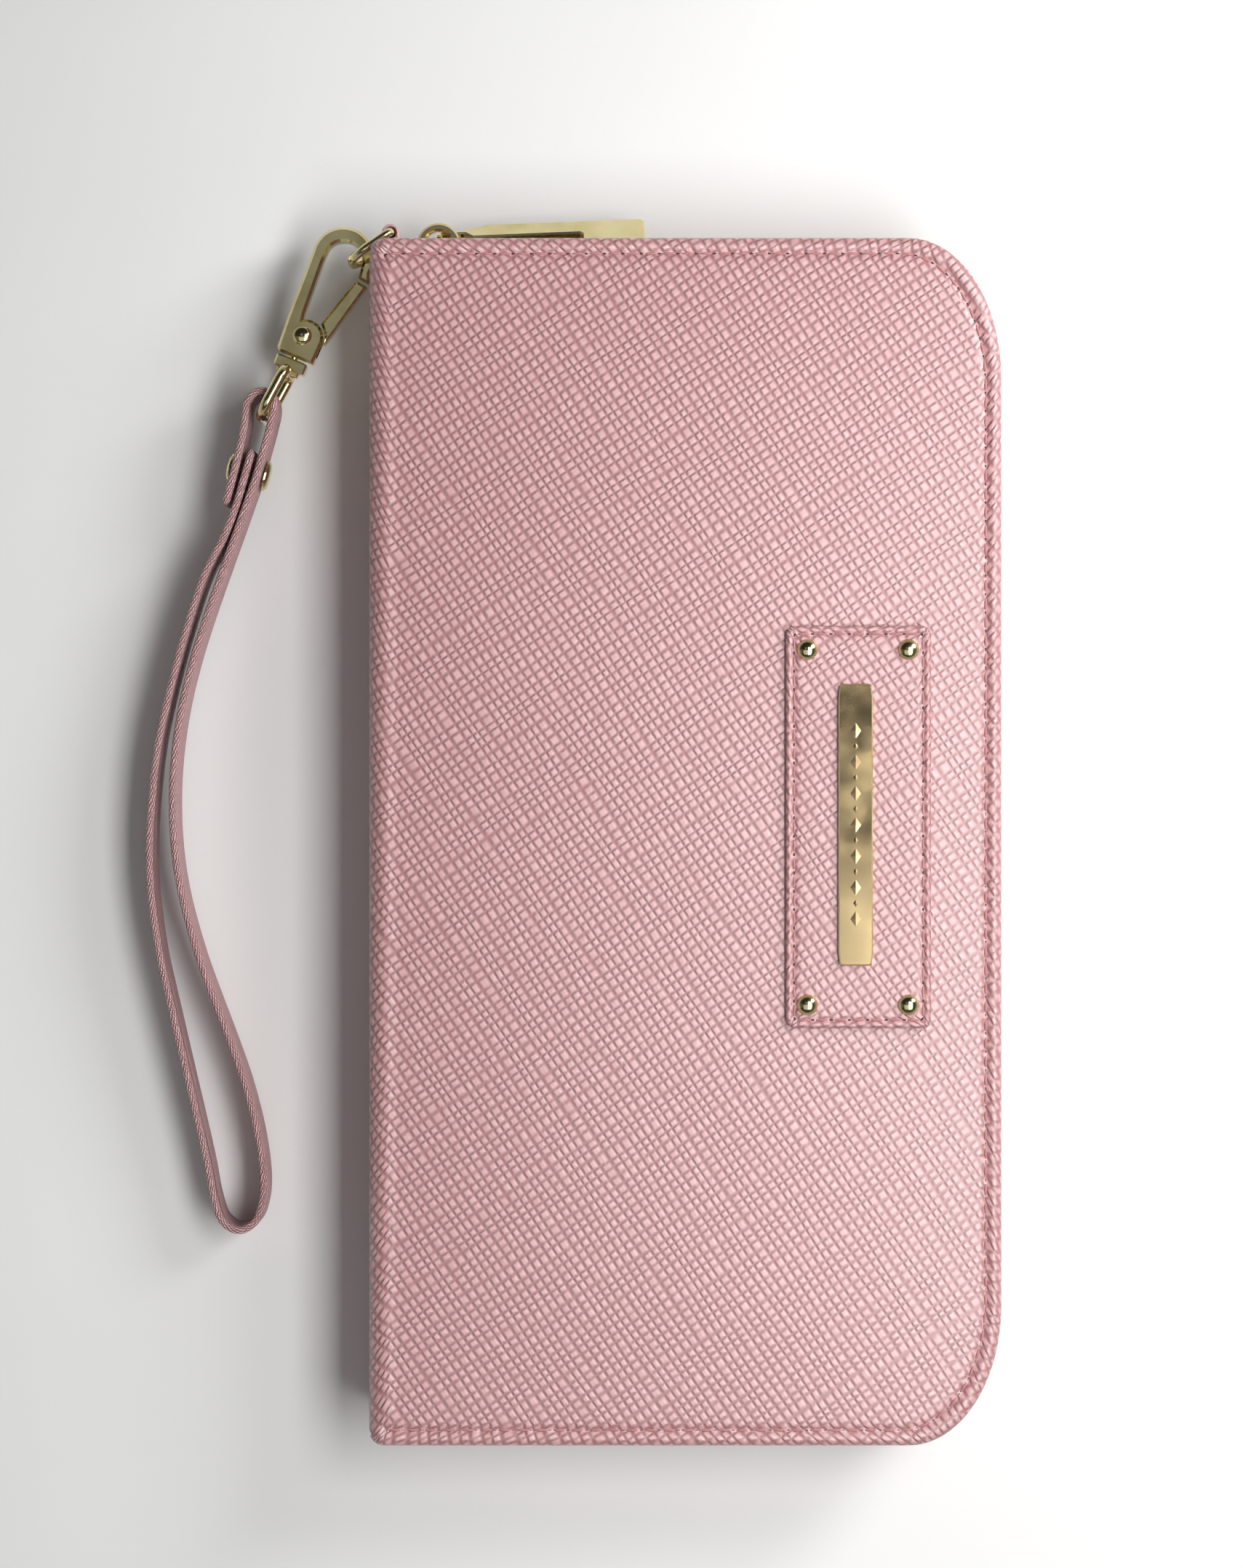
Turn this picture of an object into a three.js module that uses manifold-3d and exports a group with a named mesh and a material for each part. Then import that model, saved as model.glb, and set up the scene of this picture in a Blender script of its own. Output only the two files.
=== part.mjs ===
// A zip-around wristlet wallet in millimetres: two padded leather covers on a spine, a zip round three
// sides, a stitched patch with a nameplate, and a wrist strap on a trigger hook and D-ring.
// The wallet lies on its back cover: z = 0 is the back cover's outer face and the origin is its middle.
// +X runs from the spine to the open side, +Y along the wallet's length, +Z out of the front cover.

import * as THREE from "three";
import { mergeVertices } from "three/addons/utils/BufferGeometryUtils.js";
import Module from "manifold-3d";

const wasm = await Module();
wasm.setup();

// ---- driving dimensions -------------------------------------------------------------------------

const WIDTH = 99.6;
const LENGTH = 190;
const THICKNESS = 22;
const HALF_W = WIDTH / 2;
const HALF_L = LENGTH / 2;
const CORNER_X = 14.6; // open-side corner, along the short edge
const CORNER_Y = 22; // open-side corner, along the long edge
const SPINE_CORNER = 2.5;

const COVER = 3.4; // padded cover, skin to skin
const SKIN = 1.1; // leather over the foam
const FOAM = 0.8;
const BOARD = 0.9;
const FIT = 0.3; // gap between pieces that must not touch
const RIM = 8; // solid leather margin round the recess of a cover
const COVER_BEVEL = 0.9;
const FRONT_IN = THICKNESS - COVER; // inner face of the front cover

const SPINE_OUT = 0.6; // the spine stands in from the covers' edge
const SPINE_T = 2;
const SPINE_HALF_L = 92.6;

const ZIP_INSET = 5; // middle of the zip tape, in from the covers' edge
const TAPE_T = 1;
const CHAIN_T = 2.4;
const CHAIN_H = 1.6; // one row of teeth
const CHAIN_GAP = 1; // between the two rows, where the slider's post runs
const ZIP_LEFT = -44; // both ends of the zip, near the spine
const MID_Z = THICKNESS / 2;
const STOP_LENGTH = 1.6;

const INNER_LEFT = -46.6;
const INNER_INSET = 7.6;
const LINING = 0.6;
const CARD_POCKETS = 4;
const CARD_STEP_X = 12;
const CARD_STEP_Z = 0.9;
const CARD_EDGE = 34; // mouth of the lowest card pocket
const PHONE_EDGE = 22;

const SLIDER_X = -39.2;
const SLIDER_HALF = 3.5;
const SLIDER_HALF_Z = 3.6;
const PLATE_T = 0.9;
const POST_H = 0.4;
const CROWN_R = 3.5;
const CROWN_BAR = 1.3;
const CROWN_W = 1.8;
const CROWN_Y = 95.2; // centre of the crown's round top, which the pull turns about

const PULL_T = 1.4;
const PULL_TILT = 45;
const PULL_TURN = 2.3;
const PULL_LENGTH = 33;
const PULL_HALF = 4.25;
const PULL_HEAD_HALF = 2.95;
const PULL_HOLE_HALF = 2.15; // hole round the slider's crown
const PULL_SLOT_HALF = 1.1;
const PULL_SLOT_END = 23;

const PATCH = { x: 27.1, y: 2.35, w: 22.8, l: 63, r: 1.4, t: 1.1 };
const PLATE = { x: 26.6, y: 2.7, w: 5.4, l: 44, r: 0.6, t: 0.9 };
const STUD_R = 1.65;
const STUD_H = 0.8;
const STUDS = [
  [19.1, 30.1],
  [34.9, 30.1],
  [19.1, -25.5],
  [34.9, -25.5],
];

const RING_WIRE = 0.7;
const RING_HALF_W = 5;
const RING_NEAR = [-46.7, 96.7]; // straight bar, in the leather tab
const RING_FAR = [-53.05, 92.4];
const RING_FAR_R = 3.6;
const TAB_R = 1.35;
const TAB_BORE = 0.95;
const TAB_HALF_Z = 4.1;
const TAB_FOOT_Y = 92.9;

const HOOK_AT = [-61.12, 80.89, 9.1]; // the gate's rivet
const HOOK_TURN = -22.5; // the hook's long axis, from +Y
const HOOK_T = 3.2;
const HOOK_BEVEL = 0.45;
const SLOT_H = 1.8; // slot between the hook's cheeks
const HUB_T = 0.8;
const RIVET_R = 0.6;

const EYE_WIRE = 0.85;
const EYE_HALF_W = 5.65;
const EYE_END = -14.6;
const EYE_R = 3;
const EYE_LEAN = 6; // the loop is bent a little off the hook's long axis

const STRAP_T = 1.2;
const STRAP_W = 9;
const STRAP_TOP_Z = 9.1; // middle of the strap where it goes through the eye
const STRAP_LOW_Z = 4.8; // middle of the strap at the bottom of the loop
const STRAP_TOP_Y = 68;
const STRAP_LOW_Y = -63.2;
const STRAP_RIVET = [-69.8, 59.2];
const STRAP_RIVET_TURN = -14.5;
const STRAP_STACK = 2.75; // half the height of the three layers at the rivet
const CAP_R = 2.5;
const CAP_T = 0.8;

const LEATHER = { color: 0xd3a7a8, roughness: 0.55, metalness: 0 };
const STRAP_LEATHER = { color: 0xb98e90, roughness: 0.6, metalness: 0 };
const FABRIC = { color: 0xc99a9c, roughness: 0.9, metalness: 0 };
const BRASS = { color: 0xd8c37c, roughness: 0.2, metalness: 1 };
const BOARD_GREY = { color: 0xb9ab93, roughness: 0.9, metalness: 0 };
const FOAM_WHITE = { color: 0xe8e2d8, roughness: 0.95, metalness: 0 };

// ---- helpers ------------------------------------------------------------------------------------

const wallet = new THREE.Group();

function solid(geometry) {
  const bare = geometry.clone();
  bare.deleteAttribute("normal");
  bare.deleteAttribute("uv");
  const merged = mergeVertices(bare, 1e-4);
  return new wasm.Manifold(
    new wasm.Mesh({
      numProp: 3,
      vertProperties: merged.attributes.position.array,
      triVerts: new Uint32Array(merged.index.array),
    }),
  );
}

function geometryOf(manifold) {
  const mesh = manifold.getMesh();
  const geometry = new THREE.BufferGeometry();
  geometry.setAttribute("position", new THREE.BufferAttribute(mesh.vertProperties, 3));
  geometry.setIndex(new THREE.BufferAttribute(mesh.triVerts, 1));
  geometry.computeVertexNormals();
  return geometry;
}

function add(name, geometry, look, parent = wallet) {
  const mesh = new THREE.Mesh(geometry, new THREE.MeshStandardMaterial(look));
  mesh.name = name;
  parent.add(mesh);
  return mesh;
}

// A flat shape raised from z = low to z = high, its edges bevelled inside the outline.
function slab(shape, low, high, bevel = 0, curveSegments = 6) {
  const geometry = new THREE.ExtrudeGeometry(shape, {
    depth: high - low - 2 * bevel,
    bevelEnabled: bevel > 0,
    bevelThickness: bevel,
    bevelSize: bevel,
    bevelOffset: -bevel,
    bevelSegments: 1,
    curveSegments,
  });
  return geometry.translate(0, 0, low + bevel);
}

function box(x0, x1, y0, y1, z0, z1) {
  const geometry = new THREE.BoxGeometry(x1 - x0, y1 - y0, z1 - z0);
  return geometry.translate((x0 + x1) / 2, (y0 + y1) / 2, (z0 + z1) / 2);
}

function roundedRect(x, y, w, l, r) {
  const shape = new THREE.Shape();
  const [x0, x1, y0, y1] = [x - w / 2, x + w / 2, y - l / 2, y + l / 2];
  shape.moveTo(x0 + r, y0);
  shape.lineTo(x1 - r, y0);
  shape.absarc(x1 - r, y0 + r, r, -Math.PI / 2, 0);
  shape.lineTo(x1, y1 - r);
  shape.absarc(x1 - r, y1 - r, r, 0, Math.PI / 2);
  shape.lineTo(x0 + r, y1);
  shape.absarc(x0 + r, y1 - r, r, Math.PI / 2, Math.PI);
  shape.lineTo(x0, y0 + r);
  shape.absarc(x0 + r, y0 + r, r, Math.PI, 1.5 * Math.PI);
  return shape;
}

// Closes an outline from its upper half, which runs from left to right.
function mirrored(path, upper) {
  const lower = upper.map(([x, y]) => [x, -y]);
  path.moveTo(...lower[0]);
  lower.slice(1).forEach((point) => path.lineTo(...point));
  [...upper].reverse().forEach((point) => path.lineTo(...point));
  path.closePath();
}

// The wallet's outline, moved in by inset: small corners at the spine, large soft ones opposite.
function outline(inset, left = -HALF_W + inset) {
  const right = HALF_W - inset;
  const top = HALF_L - inset;
  const rx = CORNER_X - inset / 2;
  const ry = CORNER_Y - inset / 2;
  const r = Math.max(SPINE_CORNER - inset, 0.5);
  const shape = new THREE.Shape();
  shape.moveTo(left + r, -top);
  shape.lineTo(right - rx, -top);
  shape.absellipse(right - rx, -top + ry, rx, ry, -Math.PI / 2, 0);
  shape.lineTo(right, top - ry);
  shape.absellipse(right - rx, top - ry, rx, ry, 0, Math.PI / 2);
  shape.lineTo(left + r, top);
  shape.absarc(left + r, top - r, r, Math.PI / 2, Math.PI);
  shape.lineTo(left, -top + r);
  shape.absarc(left + r, -top + r, r, Math.PI, 1.5 * Math.PI);
  return shape;
}

// A band that follows the zip round the three open sides.
function zipBand(thickness, low, high) {
  const outer = solid(slab(outline(ZIP_INSET - thickness / 2), low, high));
  const innerShape = outline(ZIP_INSET + thickness / 2, -HALF_W - 1);
  const inner = solid(slab(innerShape, low - 1, high + 1));
  const spineSide = solid(box(-HALF_W - 1, ZIP_LEFT, -HALF_L, HALF_L, low - 1, high + 1));
  return geometryOf(outer.subtract(inner).subtract(spineSide));
}

// ---- covers and spine ---------------------------------------------------------------------------

// A cover's leather, with a recess on its inner side for the foam and the board.
function coverShell(low, recessLow) {
  const skin = solid(slab(outline(0), low, low + COVER, COVER_BEVEL));
  const recess = slab(outline(RIM), recessLow, recessLow + COVER - SKIN + FIT);
  return geometryOf(skin.subtract(solid(recess)));
}

function makeCovers() {
  const backFoam = SKIN;
  const backBoard = backFoam + FOAM + FIT;
  const frontFoam = THICKNESS - SKIN - FOAM;
  const frontBoard = frontFoam - FIT - BOARD;
  const filling = outline(RIM + FIT);
  add("back_cover", coverShell(0, SKIN), LEATHER);
  add("back_foam", slab(filling, backFoam, backFoam + FOAM), FOAM_WHITE);
  add("back_board", slab(filling, backBoard, backBoard + BOARD), BOARD_GREY);
  add("front_cover", coverShell(FRONT_IN, FRONT_IN - FIT), LEATHER);
  add("front_foam", slab(filling, frontFoam, frontFoam + FOAM), FOAM_WHITE);
  add("front_board", slab(filling, frontBoard, frontBoard + BOARD), BOARD_GREY);
  const spineX = -HALF_W + SPINE_OUT;
  const spine = box(spineX, spineX + SPINE_T, -SPINE_HALF_L, SPINE_HALF_L, COVER, FRONT_IN - FIT);
  add("spine", spine, LEATHER);
}

// ---- linings and pockets ------------------------------------------------------------------------

// A pocket panel from the spine side to its mouth at x = edge.
function pocketPanel(edge, low) {
  const whole = solid(slab(outline(INNER_INSET, INNER_LEFT), low, low + LINING));
  const beyond = solid(box(edge, HALF_W, -HALF_L, HALF_L, low - 1, low + LINING + 1));
  return geometryOf(whole.subtract(beyond));
}

function makeInside() {
  const lining = outline(INNER_INSET, INNER_LEFT);
  add("back_lining", slab(lining, COVER, COVER + LINING), FABRIC);
  add("front_lining", slab(lining, FRONT_IN - LINING, FRONT_IN), FABRIC);
  const slipZ = COVER + CARD_STEP_Z;
  add("slip_pocket", pocketPanel(CARD_EDGE + CARD_STEP_X / 2, slipZ), LEATHER);
  for (let i = 1; i <= CARD_POCKETS; i++) {
    const edge = CARD_EDGE - CARD_STEP_X * (i - 1);
    add(`card_pocket_${i}`, pocketPanel(edge, slipZ + CARD_STEP_Z * i), LEATHER);
  }
  add("phone_pocket", pocketPanel(PHONE_EDGE, FRONT_IN - 2 * CARD_STEP_Z - LINING), LEATHER);
}

// ---- zip ----------------------------------------------------------------------------------------

function makeZip() {
  const backTop = MID_Z - CHAIN_GAP / 2;
  const frontLow = MID_Z + CHAIN_GAP / 2;
  const tapeTop = backTop - CHAIN_H;
  add("zip_tape_back", zipBand(TAPE_T, COVER, tapeTop), FABRIC);
  add("zip_chain_back", zipBand(CHAIN_T, tapeTop, backTop), BRASS);
  add("zip_chain_front", zipBand(CHAIN_T, frontLow, frontLow + CHAIN_H), BRASS);
  add("zip_tape_front", zipBand(TAPE_T, frontLow + CHAIN_H, FRONT_IN), FABRIC);

  const y = HALF_L - ZIP_INSET;
  const half = CHAIN_T / 2;
  const [x0, x1] = [ZIP_LEFT - STOP_LENGTH, ZIP_LEFT - FIT / 2];
  add("zip_top_stop_back", box(x0, x1, y - half, y + half, tapeTop, backTop), BRASS);
  add("zip_top_stop_front", box(x0, x1, y - half, y + half, frontLow, frontLow + CHAIN_H), BRASS);
  add("zip_bottom_stop", box(x0, x1, -y - half, -y + half, tapeTop, backTop), BRASS);
}

function makeSlider() {
  const y = HALF_L - ZIP_INSET;
  const face = CHAIN_T / 2 + FIT;
  const plate = roundedRect(0, 0, 2 * SLIDER_HALF, 2 * SLIDER_HALF_Z, 1.4);
  const turned = (low, high) => solid(slab(plate, low, high, 0.2, 3).rotateX(-Math.PI / 2));
  const outer = turned(y + face, y + face + PLATE_T);
  const inner = turned(y - face - PLATE_T, y - face);
  const post = solid(box(-1.6, 1.6, y - face - 0.2, y + face + 0.2, -POST_H / 2, POST_H / 2));

  const arch = new THREE.Shape();
  const foot = y + face + PLATE_T - 0.2;
  const inside = CROWN_R - CROWN_BAR;
  arch.moveTo(CROWN_R, foot);
  arch.lineTo(CROWN_R, CROWN_Y);
  arch.absarc(0, CROWN_Y, CROWN_R, 0, Math.PI);
  arch.lineTo(-CROWN_R, foot);
  arch.lineTo(-inside, foot);
  arch.lineTo(-inside, CROWN_Y);
  arch.absarc(0, CROWN_Y, inside, Math.PI, 0, true);
  arch.lineTo(inside, foot);
  const crown = solid(slab(arch, -CROWN_W / 2, CROWN_W / 2, 0.3, 10));

  const slider = geometryOf(outer.add(inner).add(post).add(crown));
  add("zip_slider", slider.translate(SLIDER_X, 0, MID_Z), BRASS);
}

function makePull() {
  const shape = new THREE.Shape();
  const [head, wide, end, chamfer] = [PULL_HEAD_HALF, PULL_HALF, PULL_LENGTH, 0.6];
  const half = [
    [-0.5, head - 1.1],
    [0.6, head],
    [3.6, head],
    [7.6, wide],
    [end - chamfer, wide],
    [end, wide - chamfer],
  ];
  const hole = new THREE.Path();
  const halfHole = [
    [0.6, PULL_HOLE_HALF],
    [4.2, PULL_HOLE_HALF],
    [5.4, PULL_SLOT_HALF],
    [PULL_SLOT_END, PULL_SLOT_HALF],
  ];
  mirrored(shape, half);
  mirrored(hole, halfHole);
  shape.holes.push(hole);
  const group = new THREE.Group();
  group.position.set(SLIDER_X, CROWN_Y, MID_Z);
  group.rotation.z = THREE.MathUtils.degToRad(PULL_TURN);
  wallet.add(group);
  const pull = add("zip_pull", slab(shape, -PULL_T / 2, PULL_T / 2, 0.2), BRASS, group);
  pull.rotation.x = -THREE.MathUtils.degToRad(PULL_TILT);
}

// ---- patch, studs and nameplate -----------------------------------------------------------------

function makePatch() {
  const patchShape = roundedRect(PATCH.x, PATCH.y, PATCH.w, PATCH.l, PATCH.r);
  const top = THICKNESS + PATCH.t;
  add("patch", slab(patchShape, THICKNESS, top, 0.3, 4), LEATHER);
  const plateShape = roundedRect(PLATE.x, PLATE.y, PLATE.w, PLATE.l, PLATE.r);
  add("nameplate", slab(plateShape, top, top + PLATE.t, 0.3, 4), BRASS);
  STUDS.forEach(([x, y], i) => {
    const profile = [
      new THREE.Vector2(0, 0),
      new THREE.Vector2(STUD_R, 0),
      new THREE.Vector2(STUD_R * 0.9, STUD_H * 0.5),
      new THREE.Vector2(STUD_R * 0.5, STUD_H * 0.9),
      new THREE.Vector2(0, STUD_H),
    ];
    const dome = new THREE.LatheGeometry(profile, 16).rotateX(Math.PI / 2);
    add(`stud_${i + 1}`, dome.translate(x, y, top), BRASS);
  });
}

// ---- tab and D-ring -----------------------------------------------------------------------------

function makeTab() {
  const [x, y] = RING_NEAR;
  const shape = new THREE.Shape();
  shape.moveTo(x + TAB_R, TAB_FOOT_Y);
  shape.lineTo(x + TAB_R, y);
  shape.absarc(x, y, TAB_R, 0, Math.PI);
  shape.lineTo(x - TAB_R, TAB_FOOT_Y);
  const bore = new THREE.Path();
  bore.absarc(x, y, TAB_BORE, 0, 2 * Math.PI, true);
  shape.holes.push(bore);
  add("ring_tab", slab(shape, MID_Z - TAB_HALF_Z, MID_Z + TAB_HALF_Z), LEATHER);
}

// A wire whose path closes on itself, so its tube has no ends.
function wireLoop(path, radius, steps) {
  return new THREE.TubeGeometry(path, steps, radius, 8, true);
}

// A closed loop in the x-z plane: a straight bar at x = 0, tight corners, and a far side with round ones.
function ringPath(depth, halfWidth, nearR, farR) {
  const corners = [
    [nearR, -halfWidth + nearR, nearR, -Math.PI / 2],
    [nearR, halfWidth - nearR, nearR, -Math.PI],
    [depth - farR, halfWidth - farR, farR, Math.PI / 2],
    [depth - farR, -halfWidth + farR, farR, 0],
  ];
  const points = corners.flatMap(([x, z, r, start]) =>
    [0, 1, 2, 3].map((i) => {
      const angle = start - (i * Math.PI) / 6;
      return new THREE.Vector3(x + r * Math.cos(angle), 0, z + r * Math.sin(angle));
    }),
  );
  return new THREE.CatmullRomCurve3(points, true, "centripetal");
}

function makeRing() {
  const dx = RING_FAR[0] - RING_NEAR[0];
  const dy = RING_FAR[1] - RING_NEAR[1];
  const ring = wireLoop(ringPath(Math.hypot(dx, dy), RING_HALF_W, 0.9, RING_FAR_R), RING_WIRE, 40);
  const mesh = add("d_ring", ring, BRASS);
  mesh.position.set(RING_NEAR[0], RING_NEAR[1], MID_Z);
  mesh.rotation.z = Math.atan2(dy, dx);
}

// ---- trigger hook: y runs along the hook, the rivet is at the origin ------------------------------

function hookOutline() {
  const shape = new THREE.Shape();
  shape.moveTo(-2.5, -3.7);
  shape.lineTo(3.3, -3.7);
  shape.lineTo(3.4, 0);
  shape.absarc(0.6, 0, 2.8, 0, 2.1);
  shape.lineTo(-1, 3.4);
  shape.lineTo(-1.45, 12.3);
  shape.absarc(1.55, 13.6, 3.05, 2.85, 0.1, true);
  shape.lineTo(4.8, 11.9);
  shape.lineTo(6.75, 11.6);
  shape.absarc(1.3, 14, 4.95, -0.15, 3.3);
  shape.lineTo(-3.3, 2.2);
  shape.lineTo(-3, -3.2);
  shape.closePath();
  return shape;
}

function makeHook(group) {
  const half = HOOK_T / 2;
  const body = solid(slab(hookOutline(), -half, half, HOOK_BEVEL, 8));
  const slotShape = new THREE.Shape();
  slotShape.moveTo(-1.9, -2.4);
  slotShape.lineTo(5, -2.4);
  slotShape.lineTo(5, 5);
  slotShape.lineTo(0.5, 5);
  slotShape.lineTo(-0.9, 2.6);
  slotShape.lineTo(-1.9, 1);
  slotShape.closePath();
  const slot = solid(slab(slotShape, -SLOT_H / 2, SLOT_H / 2));
  const bore = solid(new THREE.CylinderGeometry(0.8, 0.8, 6, 16).rotateX(Math.PI / 2));
  const socket = solid(new THREE.CylinderGeometry(0.95, 0.95, 1.6, 16).translate(0, -3.5, 0));
  add("hook_frame", geometryOf(body.subtract(slot).subtract(bore).subtract(socket)), BRASS, group);

  const head = half + FIT / 3;
  const rivetProfile = [
    new THREE.Vector2(0, -head - 0.6),
    new THREE.Vector2(1, -head - 0.45),
    new THREE.Vector2(1.55, -head),
    new THREE.Vector2(RIVET_R, -head),
    new THREE.Vector2(RIVET_R, head),
    new THREE.Vector2(1.55, head),
    new THREE.Vector2(1, head + 0.45),
    new THREE.Vector2(0, head + 0.6),
  ];
  add("hook_rivet", new THREE.LatheGeometry(rivetProfile, 16).rotateX(Math.PI / 2), BRASS, group);

  const springZ = -SLOT_H / 2 + 0.2;
  const springProfile = [
    new THREE.Vector2(0.9, springZ),
    new THREE.Vector2(1.4, springZ),
    new THREE.Vector2(1.4, springZ + 0.35),
    new THREE.Vector2(0.9, springZ + 0.35),
    new THREE.Vector2(0.9, springZ),
  ];
  add("gate_spring", new THREE.LatheGeometry(springProfile, 16).rotateX(Math.PI / 2), BRASS, group);
}

function makeGate(group) {
  const arm = new THREE.Shape();
  arm.moveTo(3.8, -0.1);
  arm.lineTo(6.6, 11.1);
  arm.lineTo(4.6, 11.4);
  arm.lineTo(2.1, 2.9);
  arm.lineTo(3.4, 1.4);
  arm.closePath();
  const tongue = new THREE.Shape();
  tongue.moveTo(1.5, -1.3);
  tongue.lineTo(2.5, -1);
  tongue.lineTo(4, 1.2);
  tongue.lineTo(2.9, 3.4);
  tongue.absarc(0, 0, 1.5, 2.2, 4.6);
  tongue.closePath();
  const hubLow = SLOT_H / 2 - 0.15 - HUB_T;
  const whole = solid(slab(arm, -HOOK_T / 2, HOOK_T / 2, 0.4))
    .add(solid(slab(tongue, hubLow, hubLow + HUB_T)))
    .subtract(solid(new THREE.CylinderGeometry(0.8, 0.8, 6, 16).rotateX(Math.PI / 2)));
  add("hook_gate", geometryOf(whole), BRASS, group);
}

function makeEye(group) {
  const collar = solid(slab(roundedRect(0, -5, 5.2, 2, 0.4), -HOOK_T / 2, HOOK_T / 2, 0.2, 3));
  const flange = solid(slab(roundedRect(0, -6.3, 3.6, 1, 0.2), -1.2, 1.2, 0, 3));
  const stem = solid(new THREE.CylinderGeometry(0.65, 0.65, 1.6, 16).translate(0, -3.7, 0));
  const start = -6.2;
  const loop = wireLoop(ringPath(start - EYE_END, EYE_HALF_W, 1.5, EYE_R), EYE_WIRE, 40);
  loop.rotateZ(-Math.PI / 2 - THREE.MathUtils.degToRad(EYE_LEAN)).translate(0, start, 0);
  add("swivel_eye", geometryOf(collar.add(flange).add(stem).add(solid(loop))), BRASS, group);
}

// ---- wrist strap --------------------------------------------------------------------------------

// The strap's middle line: from its outer end, round the eye's bar, down the near strand, round the
// bottom and up the far strand to the end that lies between the other two layers.
const STRAP_ROUTE = [
  [-73.2, 53.6],
  [-71.9, 58.4],
  [-70.7, 63.2],
  [-70, 67],
  [-69.6, 70],
  [-67.9, 71.7],
  [-66, 71.3],
  [-65.4, 69.4],
  [-66, 66.2],
  [-67.1, 62.2],
  [-68.3, 58],
  [-70.2, 52.6],
  [-78.1, 29.9],
  [-80.8, 18.2],
  [-81.8, 6.5],
  [-81, -5.2],
  [-78.2, -16.9],
  [-70, -40.2],
  [-67.6, -51.9],
  [-67.6, -57.7],
  [-68.9, -61.3],
  [-71.4, -62.6],
  [-73.9, -61.3],
  [-75.3, -57.7],
  [-76.4, -51.9],
  [-81.7, -28.5],
  [-84.2, -16.9],
  [-85.5, -5.2],
  [-85.1, 6.5],
  [-83.5, 18.2],
  [-76.9, 41.5],
  [-73.2, 49],
  [-71.6, 53.2],
  [-70.1, 58.2],
  [-68.9, 62.4],
];

function strapZ(y) {
  const along = (y - STRAP_LOW_Y) / (STRAP_TOP_Y - STRAP_LOW_Y);
  return STRAP_LOW_Z + (STRAP_TOP_Z - STRAP_LOW_Z) * THREE.MathUtils.clamp(along, 0, 1);
}

function makeStrap() {
  const points = STRAP_ROUTE.map(([x, y]) => new THREE.Vector3(x, y, 0));
  const path = new THREE.CatmullRomCurve3(points, false, "centripetal");
  const section = new THREE.Shape();
  section.moveTo(-STRAP_W / 2, -STRAP_T / 2);
  section.lineTo(STRAP_W / 2, -STRAP_T / 2);
  section.lineTo(STRAP_W / 2, STRAP_T / 2);
  section.lineTo(-STRAP_W / 2, STRAP_T / 2);
  section.closePath();
  const band = new THREE.ExtrudeGeometry(section, { steps: 110, extrudePath: path });
  const position = band.attributes.position;
  for (let i = 0; i < position.count; i++) {
    position.setZ(i, position.getZ(i) + strapZ(position.getY(i)));
  }

  const rivetZ = strapZ(STRAP_RIVET[1]);
  const place = (geometry) =>
    geometry
      .rotateZ(THREE.MathUtils.degToRad(STRAP_RIVET_TURN - 90))
      .translate(STRAP_RIVET[0], STRAP_RIVET[1], rivetZ);
  const bore = place(new THREE.CylinderGeometry(1.1, 1.1, 8, 16));
  add("wrist_strap", geometryOf(solid(band).subtract(solid(bore))), STRAP_LEATHER);

  const cap = (turn) => {
    const profile = [
      new THREE.Vector2(0, STRAP_STACK - 0.05),
      new THREE.Vector2(CAP_R, STRAP_STACK - 0.05),
      new THREE.Vector2(CAP_R * 0.92, STRAP_STACK + CAP_T * 0.6),
      new THREE.Vector2(CAP_R * 0.6, STRAP_STACK + CAP_T),
      new THREE.Vector2(0, STRAP_STACK + CAP_T),
    ];
    return solid(place(new THREE.LatheGeometry(profile, 20).rotateZ(turn)));
  };
  const post = solid(place(new THREE.CylinderGeometry(0.8, 0.8, 2 * STRAP_STACK, 16)));
  add("strap_rivet_post", geometryOf(cap(0).add(post)), BRASS);
  add("strap_rivet_cap", geometryOf(cap(Math.PI).subtract(post)), BRASS);
}

// ---- assembly -----------------------------------------------------------------------------------

makeCovers();
makeInside();
makeZip();
makeSlider();
makePull();
makePatch();
makeTab();
makeRing();

const hook = new THREE.Group();
hook.position.set(...HOOK_AT);
hook.rotation.z = THREE.MathUtils.degToRad(HOOK_TURN);
wallet.add(hook);
makeHook(hook);
makeGate(hook);
makeEye(hook);
makeStrap();

export default wallet;
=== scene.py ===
# Looks for the zip-around wristlet wallet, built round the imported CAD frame.
# Shapes are written in millimetres in the part's frame and turned into metres as each mesh is made.

import math

import bmesh
import bpy
import numpy as np
from mathutils import Matrix, Vector
from mathutils.geometry import tessellate_polygon


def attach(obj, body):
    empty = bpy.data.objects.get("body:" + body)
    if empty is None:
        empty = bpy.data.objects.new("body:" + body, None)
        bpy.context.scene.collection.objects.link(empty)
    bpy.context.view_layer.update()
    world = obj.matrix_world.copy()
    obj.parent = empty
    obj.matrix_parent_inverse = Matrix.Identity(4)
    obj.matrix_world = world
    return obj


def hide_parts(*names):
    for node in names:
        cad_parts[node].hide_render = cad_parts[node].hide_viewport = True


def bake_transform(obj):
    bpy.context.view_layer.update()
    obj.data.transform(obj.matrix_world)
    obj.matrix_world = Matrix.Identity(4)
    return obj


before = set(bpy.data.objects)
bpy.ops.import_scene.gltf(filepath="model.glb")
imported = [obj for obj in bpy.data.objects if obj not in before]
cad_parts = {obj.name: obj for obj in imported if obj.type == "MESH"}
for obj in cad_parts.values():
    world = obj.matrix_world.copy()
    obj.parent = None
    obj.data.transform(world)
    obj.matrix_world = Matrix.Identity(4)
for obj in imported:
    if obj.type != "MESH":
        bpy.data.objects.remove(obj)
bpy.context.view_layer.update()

# ---- driving dimensions, in millimetres ----

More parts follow.
